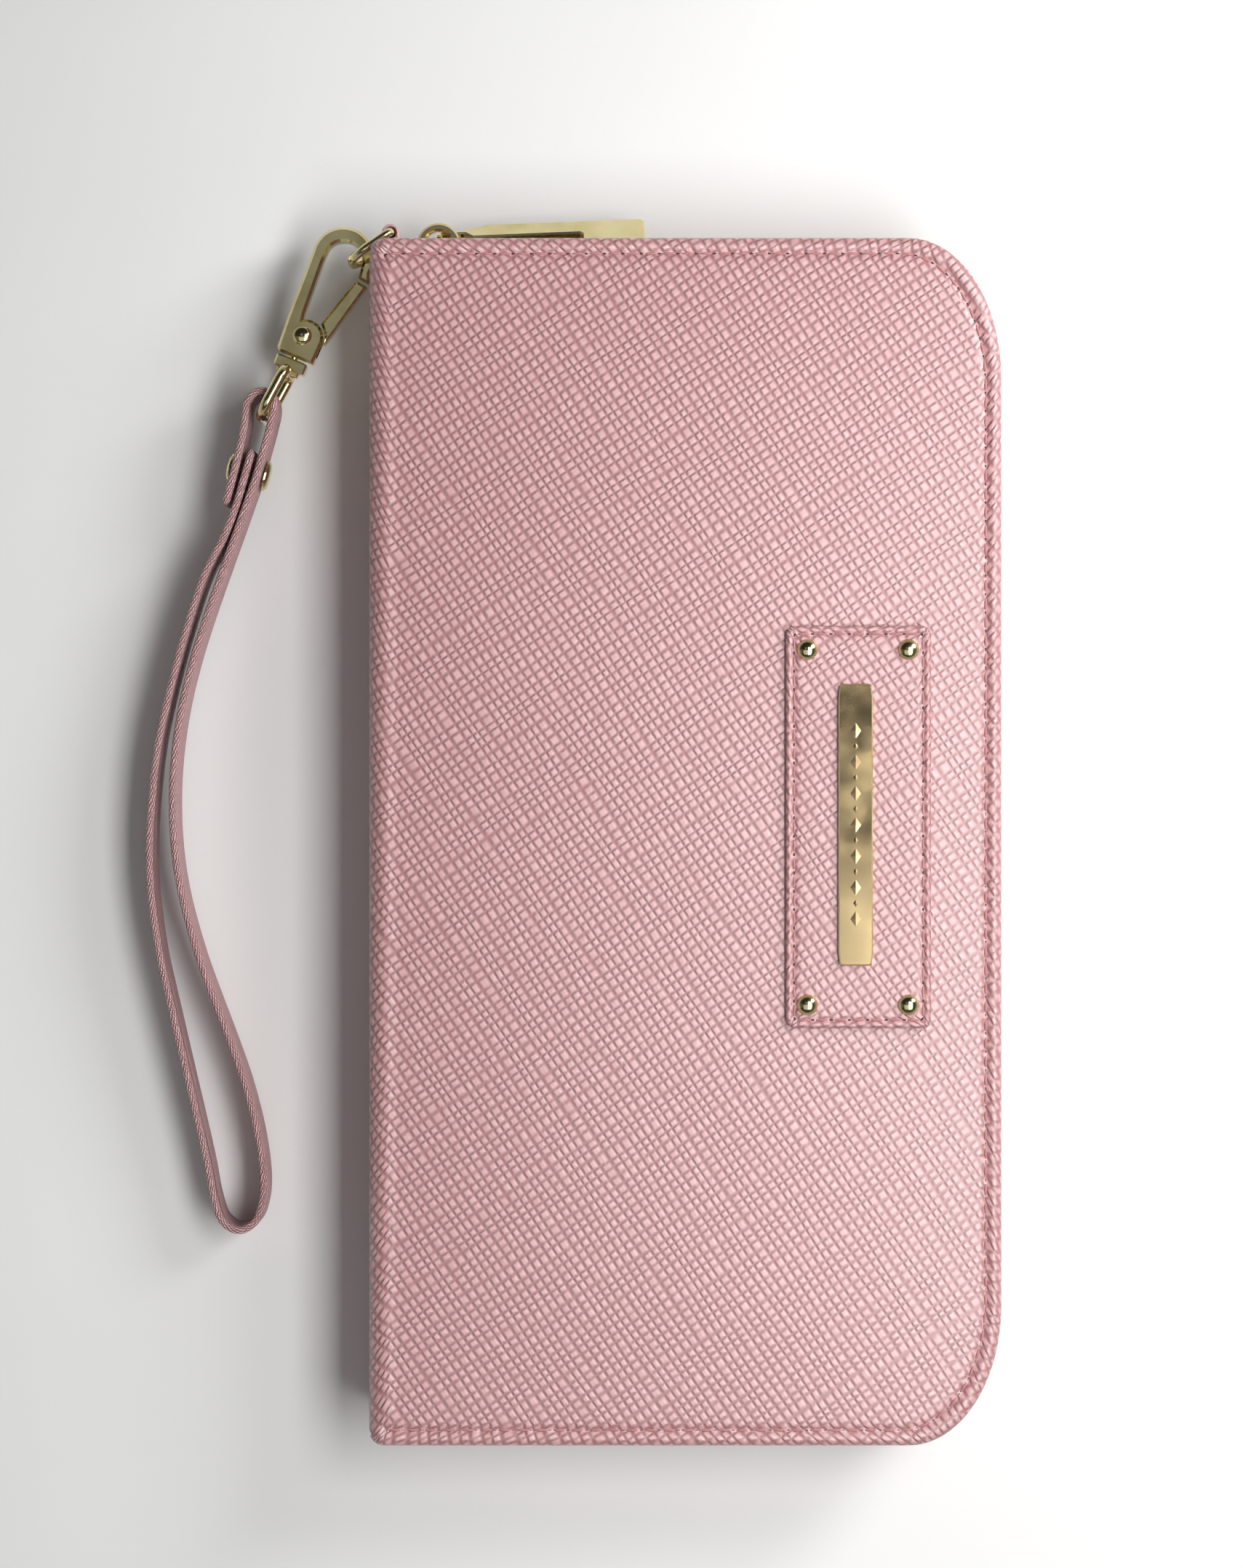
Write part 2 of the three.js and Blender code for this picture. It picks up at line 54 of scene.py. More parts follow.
MM = 0.001
HALF_W = 49.8
HALF_L = 95.0
THICKNESS = 22.0
CORNER = (14.6, 22.0)  # open-side corner, along the short and the long edge
SPINE_CORNER = 2.5
BACK_INNER = 3.4  # inner faces of the two covers
FRONT_INNER = 18.6
MID_Z = THICKNESS / 2

FIELD_INSET = 3.4  # the padded field starts here
FIELD_Z = 21.88
STITCH_INSET = 2.6
STITCH_PITCH = 2.87
SEAM_LEFT = -47.3  # the seams stop here, beside the spine
SEAM_Z = 21.54
RECESS_INSET = 8.0  # the hollow under the leather that holds the foam and board
RECESS_ROOF = 20.9
FOAM_INSET = 9.2
FOAM_LOW = 20.1
FLAP_END_Y = 92.6
SHELL_GRID = (128, 240)
CLOTH_GRID = (48, 90)
DOME_CAP = 0.95
BACK_DOME = 0.5  # share of the dome that the flat back keeps

PATCH = {"x": 27.1, "y": 2.35, "w": 22.8, "l": 63.0, "r": 1.4}
PATCH_BASE = 22.75
PATCH_TOP = 1.1
PLATE = {"x": 26.6, "y": 2.7, "w": 5.4, "l": 44.0, "r": 0.75, "t": 0.9}
STUDS = [(19.1, 30.1), (34.9, 30.1), (19.1, -25.5), (34.9, -25.5)]
STUD_R = 1.65

ZIP_INSET = 5.0
ZIP_LEFT = -44.0
TAPE_LEFT = -46.9  # the tape runs on past the teeth and tucks in beside the spine
TAPE_EDGES = (10.3, 11.7)  # the toothed edges of the back and front tapes
TEETH_PITCH = 1.35
TEETH_Z = ((8.9, 11.1), (10.9, 13.1))  # back and front rows
STOP_AT = (-44.87, 90.0)
SLIDER_X = -39.2
CROWN_Y = 95.2
CROWN_FOOT = 92.2

RING_NEAR = (-46.7, 96.7)
RING_FAR = (-53.05, 92.4)
HOOK_AT = (-61.12, 80.89, 9.1)
HOOK_TURN = -22.5

STRAP_W = 9.0
STRAP_T = 1.2
STRAP_RIVET = (-69.8, 59.2)
STRAP_RIVET_TURN = -14.5
STRAP_STACK = 2.75
STRAP_ENDS = ((-63.2, 4.8), (68.0, 9.1))  # y and height at the loop's foot and at its eye
STRAP_ROUTE = [
    (-73.2, 53.6), (-71.9, 58.4), (-70.7, 63.2), (-70, 67), (-69.6, 70), (-67.9, 71.7),
    (-66, 71.3), (-65.4, 69.4), (-66, 66.2), (-67.1, 62.2), (-68.3, 58), (-70.2, 52.6),
    (-78.1, 29.9), (-80.8, 18.2), (-81.8, 6.5), (-81, -5.2), (-78.2, -16.9), (-70, -40.2),
    (-67.6, -51.9), (-67.6, -57.7), (-68.9, -61.3), (-71.4, -62.6), (-73.9, -61.3),
    (-75.3, -57.7), (-76.4, -51.9), (-81.7, -28.5), (-84.2, -16.9), (-85.5, -5.2),
    (-85.1, 6.5), (-83.5, 18.2), (-76.9, 41.5), (-73.2, 49), (-71.6, 53.2), (-70.1, 58.2),
    (-68.9, 62.4),
]  # fmt: skip

# ---- materials ----


def new_material(name):
    """A material with an empty Principled shader, as (material, node tree, shader)."""
    material = bpy.data.materials.new(name)
    material.use_nodes = True
    tree = material.node_tree
    return material, tree, tree.nodes["Principled BSDF"]


def node(tree, kind, inputs, **settings):
    """A shader node with its settings and inputs; a socket given as an input is linked."""
    made = tree.nodes.new("ShaderNode" + kind)
    for key, value in settings.items():
        setattr(made, key, value)
    for key, value in inputs.items():
        if isinstance(value, bpy.types.NodeSocket):
            tree.links.new(value, made.inputs[key])
        else:
            made.inputs[key].default_value = value
    return made


def maths(tree, operation, a, b):
    return node(tree, "Math", {0: a, 1: b}, operation=operation).outputs[0]


def plus(tree, a, b):
    return maths(tree, "ADD", a, b)


def times(tree, a, b):
    return maths(tree, "MULTIPLY", a, b)


def ridges(tree, value):
    """A triangle wave, 0 at whole values and 0.5 between them."""
    return maths(tree, "PINGPONG", value, 0.5)


def noise(tree, vector, scale, detail=2.0):
    made = node(tree, "TexNoise", {"Vector": vector, "Scale": scale, "Detail": detail})
    return made.outputs["Fac"]


def remap(tree, value, low, high, to_low=0.0, to_high=1.0):
    """A smooth step of value from low to high."""
    inputs = {"Value": value, 1: low, 2: high, 3: to_low, 4: to_high}
    return node(tree, "MapRange", inputs, interpolation_type="SMOOTHSTEP").outputs[0]


def blend_colour(tree, share, a, b):
    return node(tree, "Mix", {0: share, 6: a, 7: b}, data_type="RGBA").outputs[2]


def surface_uv(tree):
    """Millimetres on the surface, stored in the mesh, so grain bends with it."""
    return node(tree, "UVMap", {}, uv_map="grain").outputs["UV"]


def object_place(tree):
    return node(tree, "TexCoord", {}).outputs["Object"]


def bumped(tree, height, depth, strength):
    bump = node(tree, "Bump", {"Height": height, "Distance": depth, "Strength": strength})
    return bump.outputs[0]


def surfaced(tree, shader, colour, roughness, height, depth, strength=1.0):
    """Links a surface's colour, roughness and relief; a height of 1 is depth metres."""
    tree.links.new(colour, shader.inputs["Base Color"])
    tree.links.new(roughness, shader.inputs["Roughness"])
    tree.links.new(bumped(tree, height, depth, strength), shader.inputs["Normal"])


def srgb(r, g, b):
    """A colour given as 0 to 255, for a shader socket."""
    shares = [c / 255 for c in (r, g, b)]
    return (*[c / 12.92 if c < 0.0404 else ((c + 0.055) / 1.055) ** 2.4 for c in shares], 1.0)


def raised_rows(tree, across, along, seed):
    """Ridges across one direction, uneven in width: 0 in a groove, 0.5 on a crest."""
    slow = node(tree, "CombineXYZ", {0: across, 1: along, 2: seed})
    scaled = node(tree, "VectorMath", {0: slow.outputs[0], 1: (0.5, 0.06, 1)}, operation="MULTIPLY")
    shift = times(tree, noise(tree, scaled.outputs[0], 1.0, 0.0), 0.9)
    return ridges(tree, plus(tree, across, shift))


def saffiano_height(tree, uv, pitch):
    """Cross-hatched pillow cells: crests run down to the right, with lighter cuts across them."""
    turned = []
    for angle in (34, 123):
        turn = math.radians(angle)
        direction = (math.cos(turn) / pitch, math.sin(turn) / pitch, 0)
        made = node(tree, "VectorMath", {0: uv, 1: direction}, operation="DOT_PRODUCT")
        turned.append(made.outputs["Value"])
    across, along = turned
    rows = remap(tree, raised_rows(tree, across, along, 3.0), -0.02, 0.36)
    cuts = remap(tree, raised_rows(tree, along, across, 9.0), -0.02, 0.34)
    patches = node(tree, "CombineXYZ",
                   {0: times(tree, across, 0.8), 1: times(tree, along, 0.35), 2: 5.0})
    kept = remap(tree, noise(tree, patches.outputs[0], 1.0), 0.36, 0.5, 0.7, 1.0)
    cut_depth = times(tree, maths(tree, "SUBTRACT", 1.0, cuts), kept)
    cells = times(tree, rows, maths(tree, "SUBTRACT", 1.0, cut_depth))
    uneven = remap(tree, noise(tree, uv, 0.55 / pitch), 0.3, 0.7, 0.72, 1.0)
    return times(tree, cells, uneven)


def leather(name, groove, crest, pitch=1.38, depth=0.00027, roughness=0.97):
    """Saffiano leather: matt and mottled, with painted shade in its grooves and lighter crests,
    under a thin coat of wax.
    """
    material, tree, shader = new_material(name)
    uv = surface_uv(tree)
    height = saffiano_height(tree, uv, pitch)
    fine = noise(tree, uv, 6.0, 3.0)
    mottle = remap(tree, noise(tree, uv, 0.045, 3.0), 0.3, 0.7, 0.0, 0.16)
    # painted shade: the grooves take the darker colour and the crests the lighter one, by the
    # grain's height
    tone = blend_colour(tree, height, groove, crest)
    dusk = node(tree, "HueSaturation", {"Value": 0.86, "Saturation": 1.1, "Color": tone})
    colour = blend_colour(tree, mottle, tone, dusk.outputs[0])
    rough = plus(tree, times(tree, height, -0.14), plus(tree, times(tree, fine, 0.1), roughness))
    relief = plus(tree, height, times(tree, fine, 0.06))
    surfaced(tree, shader, colour, rough, relief, depth)
    tree.links.new(bumped(tree, relief, depth, 0.25), shader.inputs["Coat Normal"])
    for key, value in (("Weight", 1.0), ("IOR", 1.8), ("Roughness", 0.4)):
        shader.inputs[f"Coat {key}"].default_value = value
    return material


def woven(name, dark, light, pitch, depth):
    """A plain weave of threads along u and v, darker between the threads as painted shade."""
    material, tree, shader = new_material(name)
    uv = surface_uv(tree)
    parts = node(tree, "SeparateXYZ", {0: uv})
    u, v = (times(tree, parts.outputs[k], 1 / pitch) for k in (0, 1))
    threads = plus(tree, ridges(tree, plus(tree, u, v)), times(tree, ridges(tree, u), 0.6))
    height = remap(tree, threads, 0.1, 0.7)
    fuzz = noise(tree, uv, 5.0, 3.0)
    # painted shade: the colour darkens where the threads are low, between them; the fuzz noise is
    # the yarn's own uneven tone
    share = plus(tree, times(tree, height, 0.8), plus(tree, times(tree, fuzz, 0.3), 0.5))
    rough = remap(tree, fuzz, 0.2, 0.8, 0.77, 0.93)
    surfaced(tree, shader, blend_colour(tree, share, dark, light), rough, height, depth, 0.9)
    shader.inputs["Sheen Weight"].default_value = 0.25
    return material


def strap_leather(name):
    """Strap leather: fine slanting ribs that show most on the edges, drawn with painted shade in
    their hollows and painted highlight on their ridges.
    """
    material, tree, shader = new_material(name)
    uv = surface_uv(tree)
    parts = node(tree, "SeparateXYZ", {0: uv})
    slant = times(tree, parts.outputs[1], 2.2)
    wander = times(tree, noise(tree, uv, 0.9), 1.3)
    ribs = plus(tree, times(tree, parts.outputs[0], 0.85), slant)
    counter = maths(tree, "SUBTRACT", times(tree, parts.outputs[0], 1.1), slant)
    ribs, counter = (ridges(tree, plus(tree, rows, wander)) for rows in (ribs, counter))
    height = remap(tree, plus(tree, ribs, times(tree, counter, 0.6)), 0.15, 0.65)
    # painted shade and highlight: dark in the rib hollows and pale on the ridges, by rib height
    tone = blend_colour(tree, height, srgb(160, 104, 107), srgb(240, 200, 200))
    rough = remap(tree, noise(tree, uv, 3.0), 0.2, 0.8, 0.5, 0.68)
    surfaced(tree, shader, tone, rough, height, 0.00034)
    return material


def metal(name, colour, roughness, tarnish):
    """Polished plated metal: faint cloudiness in colour and gloss, hairline polish marks."""
    material, tree, shader = new_material(name)
    place = object_place(tree)
    cloud = noise(tree, place, 180.0, 3.0)
    tone = blend_colour(tree, remap(tree, cloud, 0.35, 0.75), colour, tarnish)
    rough = remap(tree, cloud, 0.2, 0.8, roughness * 0.7, roughness * 1.4)
    stretched = node(tree, "VectorMath", {0: place, 1: (900, 6000, 900)}, operation="MULTIPLY")
    marks = noise(tree, stretched.outputs[0], 1.0, 1.0)
    surfaced(tree, shader, tone, rough, marks, 0.000002, 0.12)
    shader.inputs["Metallic"].default_value = 1.0
    return material


def thread_material(name, dark, light):
    """Twisted sewing thread."""
    material, tree, shader = new_material(name)
    fibre = noise(tree, object_place(tree), 3500.0)
    tone = blend_colour(tree, fibre, dark, light)
    surfaced(tree, shader, tone, remap(tree, fibre, 0.2, 0.8, 0.55, 0.8), fibre, 0.00003, 0.7)
    return material


def fibrous(name, dark, light, scale, roughness, depth):
    """Grey board or open-cell foam: a mottled, matt, pitted surface, darker in its pits as painted
    shade.
    """
    material, tree, shader = new_material(name)
    place = object_place(tree)
    grains = node(tree, "TexVoronoi", {"Vector": place, "Scale": scale}).outputs["Distance"]
    cloud = noise(tree, place, scale / 6, 4.0)
    # partly painted shade: darker where the grains are low, in the pits; the cloud noise is the
    # surface's own mottle
    tone = blend_colour(tree, times(tree, plus(tree, grains, cloud), 0.6), dark, light)
    rough = remap(tree, cloud, 0.2, 0.8, roughness - 0.05, roughness)
    surfaced(tree, shader, tone, rough, grains, depth, 0.8)
    return material


# the first colour of each leather is painted shade for its grooves, the second is its crests
COVER_LEATHER = leather("saffiano_pink", srgb(168, 114, 116), srgb(217, 169, 170))
PATCH_LEATHER = leather("saffiano_patch", srgb(166, 112, 114), srgb(214, 165, 166), depth=0.00026)
POCKET_LEATHER = leather(
    "smooth_pocket", srgb(206, 158, 160), srgb(222, 180, 181), 0.9, 0.00008, 1.1
)
STRAP_LEATHER = strap_leather("strap_pink")
LINING = woven("lining_twill", srgb(188, 138, 142), srgb(226, 184, 186), 0.42, 0.00012)
TAPE = woven("zip_tape_weave", srgb(160, 108, 112), srgb(222, 176, 178), 0.8, 0.0002)
GOLD = metal("pale_gold", (0.80, 0.71, 0.40, 1), 0.14, (0.70, 0.59, 0.29, 1))
ZIP_GOLD = metal("zip_gold", (0.76, 0.64, 0.36, 1), 0.2, (0.6, 0.47, 0.24, 1))
PLATE_GOLD = metal("plate_gold", (0.84, 0.65, 0.36, 1), 0.11, (0.78, 0.59, 0.31, 1))
# painted shade: a dark metal for the nameplate's marks, standing in for the shade of engraved marks
PLATE_MARK_SHADE = metal("plate_mark_shade", (0.30, 0.22, 0.12, 1), 0.3, (0.22, 0.15, 0.08, 1))
STEEL = metal("spring_steel", (0.62, 0.61, 0.58, 1), 0.25, (0.5, 0.49, 0.46, 1))
THREAD = thread_material("thread_pink", srgb(150, 96, 97), srgb(206, 150, 150))
# painted shade: a dark red-brown that stands in for the shade inside the needle holes
NEEDLE_HOLE_SHADE = thread_material("needle_hole", srgb(66, 20, 24), srgb(96, 38, 40))
FOAM = fibrous("foam", srgb(214, 206, 190), srgb(240, 236, 226), 2600.0, 0.95, 0.0001)
BOARD = fibrous("fibre_board", srgb(150, 132, 108), srgb(196, 180, 154), 1400.0, 0.9, 0.00005)

# ---- mesh helpers ----


def finished(obj, material, body=None, replaces=()):
    """Gives a piece its material and its body, and hides the CAD parts it replaces."""
    obj.data.materials.clear()
    obj.data.materials.append(material)
    if body:
        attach(obj, body)
    if replaces:
        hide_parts(*replaces)


def smooth(mesh, sharp):
    """Smooth shading, with edges kept where faces turn by more than sharp degrees."""
    mesh.polygons.foreach_set("use_smooth", [True] * len(mesh.polygons))
    if sharp is not None:
        mesh.set_sharp_from_angle(angle=math.radians(sharp))


def mesh_object(name, points, faces, uv=None, sharp=None):
    """A smooth-shaded mesh from points in millimetres; sharp is the angle that stays an edge."""
    mesh = bpy.data.meshes.new(name)
    points = np.asarray(points, float)
    mesh.from_pydata((points * MM).tolist(), [], faces)
    mesh.update()
    plane = points[:, :2] if uv is None else np.asarray(uv, float)
    corners = np.zeros(len(mesh.loops), np.int32)
    mesh.loops.foreach_get("vertex_index", corners)
    mesh.uv_layers.new(name="grain").data.foreach_set("uv", plane[corners].ravel())
    bm = bmesh.new()
    bm.from_mesh(mesh)
    bmesh.ops.recalc_face_normals(bm, faces=bm.faces)
    bm.to_mesh(mesh)
    bm.free()
    smooth(mesh, sharp)
    obj = bpy.data.objects.new(name, mesh)
    bpy.context.scene.collection.objects.link(obj)
    return obj


def moved(obj, matrix):
    """Moves a mesh by a matrix given in millimetres."""
    scale = Matrix.Scale(MM, 4)
    obj.data.transform(scale @ matrix @ scale.inverted())
    return obj


def joined(name, *pieces):
    """One mesh of several closed pieces that touch or overlap."""
    bm = bmesh.new()
    for piece in pieces:
        bm.from_mesh(piece.data)
    mesh = pieces[0].data
    bm.to_mesh(mesh)
    bm.free()
    for piece in pieces[1:]:
        bpy.data.objects.remove(piece)
    pieces[0].name = name
    return pieces[0]


def carve(obj, cutter):
    """Takes the cutter's shape out of obj, worked at 1 unit to the millimetre."""
    for part in (obj, cutter):
        part.data.transform(Matrix.Scale(1 / MM, 4))
    modifier = obj.modifiers.new("cut", "BOOLEAN")
    modifier.operation = "DIFFERENCE"
    modifier.solver = "EXACT"
    modifier.object = cutter
    bpy.context.view_layer.update()
    evaluated = obj.evaluated_get(bpy.context.evaluated_depsgraph_get())
    mesh = bpy.data.meshes.new_from_object(evaluated)
    obj.modifiers.clear()
    obj.data = mesh
    bpy.data.objects.remove(cutter)
    bm = bmesh.new()
    bm.from_mesh(mesh)
    bmesh.ops.remove_doubles(bm, verts=bm.verts, dist=0.001)
    bmesh.ops.triangulate(bm, faces=bm.faces)
    bm.to_mesh(mesh)
    bm.free()
    mesh.transform(Matrix.Scale(MM, 4))
    smooth(mesh, 25)


def arc(cx, cy, rx, ry, start, end, steps=12):
    """Points on an ellipse, angles in degrees."""
    angles = np.radians(np.linspace(start, end, steps + 1))
    return np.stack([cx + rx * np.cos(angles), cy + ry * np.sin(angles)], 1)


def full_turn(steps):
    return np.linspace(0, 2 * np.pi, steps, endpoint=False)


def unit(vectors):
    return vectors / np.maximum(np.linalg.norm(vectors, axis=1), 1e-9)[:, None]


def rightward(ahead):
    """Flat unit vectors that point to the right of each direction."""
    ahead = unit(ahead)
    return np.stack([ahead[:, 1], -ahead[:, 0]], 1)


def lengths(path):
    """How far along a polyline each of its points is."""
    steps = np.linalg.norm(np.diff(path, axis=0), axis=1)
    return np.concatenate([[0], np.cumsum(steps)])


def resampled(path, count):
    """count + 1 points evenly spaced by length on a polyline."""
    path = np.asarray(path, float)
    along = lengths(path)
    wanted = np.linspace(0, along[-1], count + 1)
    return np.stack([np.interp(wanted, along, path[:, k]) for k in range(path.shape[1])], 1)


def at_height(loop, z):
    return np.column_stack([loop, np.full(len(loop), z)])


def spread(grid, start=-1):
    """Even steps from start to 1, across and along a grid."""
    return np.linspace(start, 1, grid[0] + 1)[:, None], np.linspace(start, 1, grid[1] + 1)[None]


def rounded_loop(x0, x1, y0, y1, corners, grid):
    """A closed loop of a rounded rectangle whose points match the edge of a grid.
    corners are the radii at the low-left, low-right, top-right and top-left."""
    nx, ny = grid
    centres = [
        (x0 + corners[0][0], y0 + corners[0][1]),
        (x1 - corners[1][0], y0 + corners[1][1]),
        (x1 - corners[2][0], y1 - corners[2][1]),
        (x0 + corners[3][0], y1 - corners[3][1]),
    ]

    def part(k, start, end):
        return arc(*centres[k], *corners[k], start, end)

    sides = [
        (part(0, 225, 270), part(1, 270, 315), nx),
        (part(1, 315, 360), part(2, 0, 45), ny),
        (part(2, 45, 90), part(3, 90, 135), nx),
        (part(3, 135, 180), part(0, 180, 225), ny),
    ]
    return np.vstack([resampled(np.vstack([a, b]), n)[:-1] for a, b, n in sides])


def cover_loop(inset, grid, left=None, right=None):
    """The wallet's outline moved in by inset, cut off at x = right where a pocket ends."""
    open_side = (max(CORNER[0] - inset / 2, 0.5), max(CORNER[1] - inset / 2, 0.5))
    spine = (max(SPINE_CORNER - inset, 0.5),) * 2
    x0 = -HALF_W + inset if left is None else left
    top = HALF_L - inset
    loop = rounded_loop(x0, HALF_W - inset, -top, top, (spine, open_side, open_side, spine), grid)
    if right is not None:
        loop[:, 0] = np.minimum(loop[:, 0], right)
    return loop


def rect_loop(spec, inset, grid):
    r = max(spec["r"] - inset, 0.3)
    half_w, half_l = spec["w"] / 2 - inset, spec["l"] / 2 - inset
    x, y = spec["x"], spec["y"]
    return rounded_loop(x - half_w, x + half_w, y - half_l, y + half_l, [(r, r)] * 4, grid)


def coons(loop, grid):
    """Fills a loop with an even grid of points, (nx + 1) by (ny + 1)."""
    nx, ny = grid
    bottom = loop[: nx + 1][:, None]
    right = loop[nx : nx + ny + 1][None]
    top = loop[nx + ny : 2 * nx + ny + 1][::-1][:, None]
    left = np.vstack([loop[2 * nx + ny :], loop[:1]])[::-1][None]
    u, v = (steps[..., None] for steps in spread(grid, 0))
    corners = (1 - u) * (1 - v) * bottom[0, 0] + u * (1 - v) * bottom[-1, 0]
    corners = corners + u * v * top[-1, 0] + (1 - u) * v * top[0, 0]
    return (1 - v) * bottom + v * top + (1 - u) * left + u * right - corners


def grid_edge(grid):
    """Indices of a grid's edge points, in the order of its loop."""
    nx, ny = grid
    index = np.arange((nx + 1) * (ny + 1)).reshape(nx + 1, ny + 1)
    return np.concatenate([index[:-1, 0], index[-1, :-1], index[:0:-1, -1], index[0, :0:-1]])


def grid_faces(grid):
    nx, ny = grid
    index = np.arange((nx + 1) * (ny + 1)).reshape(nx + 1, ny + 1)
    quads = np.stack([index[:-1, :-1], index[1:, :-1], index[1:, 1:], index[:-1, 1:]], -1)
    return quads.reshape(-1, 4).tolist()


def upholstered(name, grid, field, rings, ring_uv):
    """A closed leather piece: a grid for its face, rings that carry the edge round and under, and a
    flat underside."""
    points = [field.reshape(-1, 3)]
    uvs = [field.reshape(-1, 3)[:, :2]]
    faces = grid_faces(grid)
    below = grid_edge(grid)
    count = len(below)
    start = len(points[0])
    for ring, uv in zip(rings, ring_uv):
        above = np.arange(start, start + count)
        nxt, nxt_above = np.roll(below, -1), np.roll(above, -1)
        faces += np.stack([below, above, nxt_above, nxt], 1).tolist()
        points.append(ring)
        uvs.append(uv)
        below = above
        start += count
    faces.append(below[::-1].tolist())
    return mesh_object(name, np.vstack(points), faces, np.vstack(uvs))


def edge_rings(loop_at, profile, start_inset):
    """Rings at a profile's (inset, z) steps, with the grain running on over the edge."""
    base = loop_at(start_inset)
    outward = rightward(np.roll(base, -1, 0) - np.roll(base, 1, 0))
    walked = lengths(np.array([(start_inset, profile[0][1])] + list(profile)))[1:]
    rings, uvs = [], []
    for (inset, z), run in zip(profile, walked):
        rings.append(at_height(loop_at(inset), z))
        uvs.append(base + outward * run)
    return rings, uvs


def crowned(name, grid, loop_at, start, profile, base, crown, power=4):
    """A closed piece whose face rises by crown above base between its edges."""
    u, v = spread(grid)
    heights = base + crown * (1 - u**power) * (1 - v**4)
    field = np.dstack([coons(loop_at(start), grid), heights])
    return upholstered(name, grid, field, *edge_rings(loop_at, profile, start))


def swept(name, rings, closed=False, uvs=None, sharp=None):
    """A bar through rings of points: closed into a loop, or with flat ends."""
    count, size = len(rings), len(rings[0])
    faces = []
    for i in range(count if closed else count - 1):
        low, high = i * size, (i + 1) % count * size
        for k in range(size):
            m = (k + 1) % size
            faces.append((low + k, high + k, high + m, low + m))
    if not closed:
        faces.append(tuple(range(size)))
        faces.append(tuple(reversed(range((count - 1) * size, count * size))))
    return mesh_object(name, np.reshape(rings, (-1, 3)), faces, uvs, sharp)


def tube(name, path, radius, side, up, sides, closed=False):
    """A round wire along a path; side and up stand square to it at each point."""
    rings = [path + radius * (np.cos(a) * side + np.sin(a) * up) for a in full_turn(sides)]
    return swept(name, np.stack(rings, 1), closed)


def closed_tube(name, path, radius):
    """A round wire along a closed flat path."""
    ahead = unit(np.roll(path, -1, 0) - np.roll(path, 1, 0))
    first, second = path[len(path) // 3] - path[0], path[2 * len(path) // 3] - path[0]
    normal = np.cross(first, second)
    normal /= np.linalg.norm(normal)
    return tube(name, path, radius, np.cross(ahead, normal), normal, 20, closed=True)


def band(low, high, size):
    """Quads between two rings of points, given by the number of each ring's first point."""
    turned = [(k + 1) % size for k in range(size)]
    return [(low + k, low + m, high + m, high + k) for k, m in enumerate(turned)]


def lathe(name, profile, steps=40):
    """Turns a profile of (radius, z) about Z; its two ends are on the axis."""
    points = [(0, 0, profile[0][1])]
    for radius, z in profile[1:-1]:
        points += [(radius * math.cos(a), radius * math.sin(a), z) for a in full_turn(steps)]
    points.append((0, 0, profile[-1][1]))
    top = 1 + (len(profile) - 3) * steps
    faces = []
    for k in range(steps):
        m = (k + 1) % steps
        faces += [(0, 1 + m, 1 + k), (top + k, top + m, len(points) - 1)]
    for low in range(1, top, steps):
        faces += band(low, low + steps, steps)
    return mesh_object(name, points, faces, sharp=35)


def moved_in(points, distance):
    """A contour moved to its left, which is into the material."""
    before = -rightward(points - np.roll(points, 1, 0))
    after = -rightward(np.roll(points, -1, 0) - points)
    middle = unit(before + after)
    stretch = np.maximum((middle * before).sum(1), 0.45)[:, None]
    return points + middle * distance / stretch


def wound(points, left):
    """A contour turned so that the material is on its left."""
    points = np.asarray(points, float)
    nxt = np.roll(points, -1, 0)
    area = (points[:, 0] * nxt[:, 1] - nxt[:, 0] * points[:, 1]).sum()
    return points if (area > 0) == left else points[::-1]


def plate(name, outline, holes, thickness, bevel, segments=1, sharp=25):
    """A flat plate in the x-y plane, centred on z = 0, its edges and holes bevelled."""
    half = thickness / 2
    steps = [math.radians(90 * k / segments) for k in range(segments + 1)]
    low = [(bevel * (1 - math.sin(a)), -half + bevel * (1 - math.cos(a))) for a in steps]
    section = low + [(inset, -z) for inset, z in reversed(low)]
    points, faces, caps = [], [], ([], [])
    contours = [wound(outline, True)] + [wound(hole, False) for hole in holes]
    for contour in contours:
        count, first = len(contour), len(points)
        for inset, z in section:
            ring = moved_in(contour, inset)
            points += [(x, y, z) for x, y in ring]
        top = first + (len(section) - 1) * count
        for low_ring in range(first, top, count):
            faces += band(low_ring, low_ring + count, count)
        caps[0].append(range(first, first + count))
        caps[1].append(range(top, top + count))
    for cap in caps:
        order = [i for loop in cap for i in loop]
        triangles = tessellate_polygon([[Vector(points[i]) for i in loop] for loop in cap])
        faces += [tuple(order[i] for i in triangle) for triangle in triangles]
    return mesh_object(name, points, faces, sharp=sharp)


def stitches(name, path, up, pitch=STITCH_PITCH, radius=0.19):
    """Separate stitches along a path: each dips into the leather at both ends."""
    total = lengths(path)[-1]
    count = max(int(total / pitch), 1)
    ends = resampled(path, count)
    dense = resampled(path, count * 12)
    up = np.array(up, float)
    points, faces = [], []
    rings, sides = 9, 6
    for i in range(count):
        span = dense[i * 12 : i * 12 + 13]
        middle = resampled(span, rings + 1)[1:-1]
        chord = ends[i + 1] - ends[i]
        chord /= np.linalg.norm(chord)
        side = np.cross(chord, up)
        first = len(points)
        for k, centre in enumerate(middle):
            t = k / (rings - 1)
            arch = math.sin(math.pi * t)
            size = radius * (0.45 + 0.55 * arch**0.35) if 0 < t < 1 else radius * 0.4
            lift = 0.34 * arch**0.5 - 0.26
            centre = centre + up * lift + chord * (0.5 - t) * 0.1
            for a in full_turn(sides):
                points.append(centre + size * (np.cos(a) * side * 1.15 + np.sin(a) * up))
        last = len(points) - sides
        for ring in range(first, last, sides):
            faces += band(ring, ring + sides, sides)
        faces.append(tuple(range(first, first + sides)))
        faces.append(tuple(reversed(range(last, last + sides))))
    return mesh_object(name, points, faces), ends


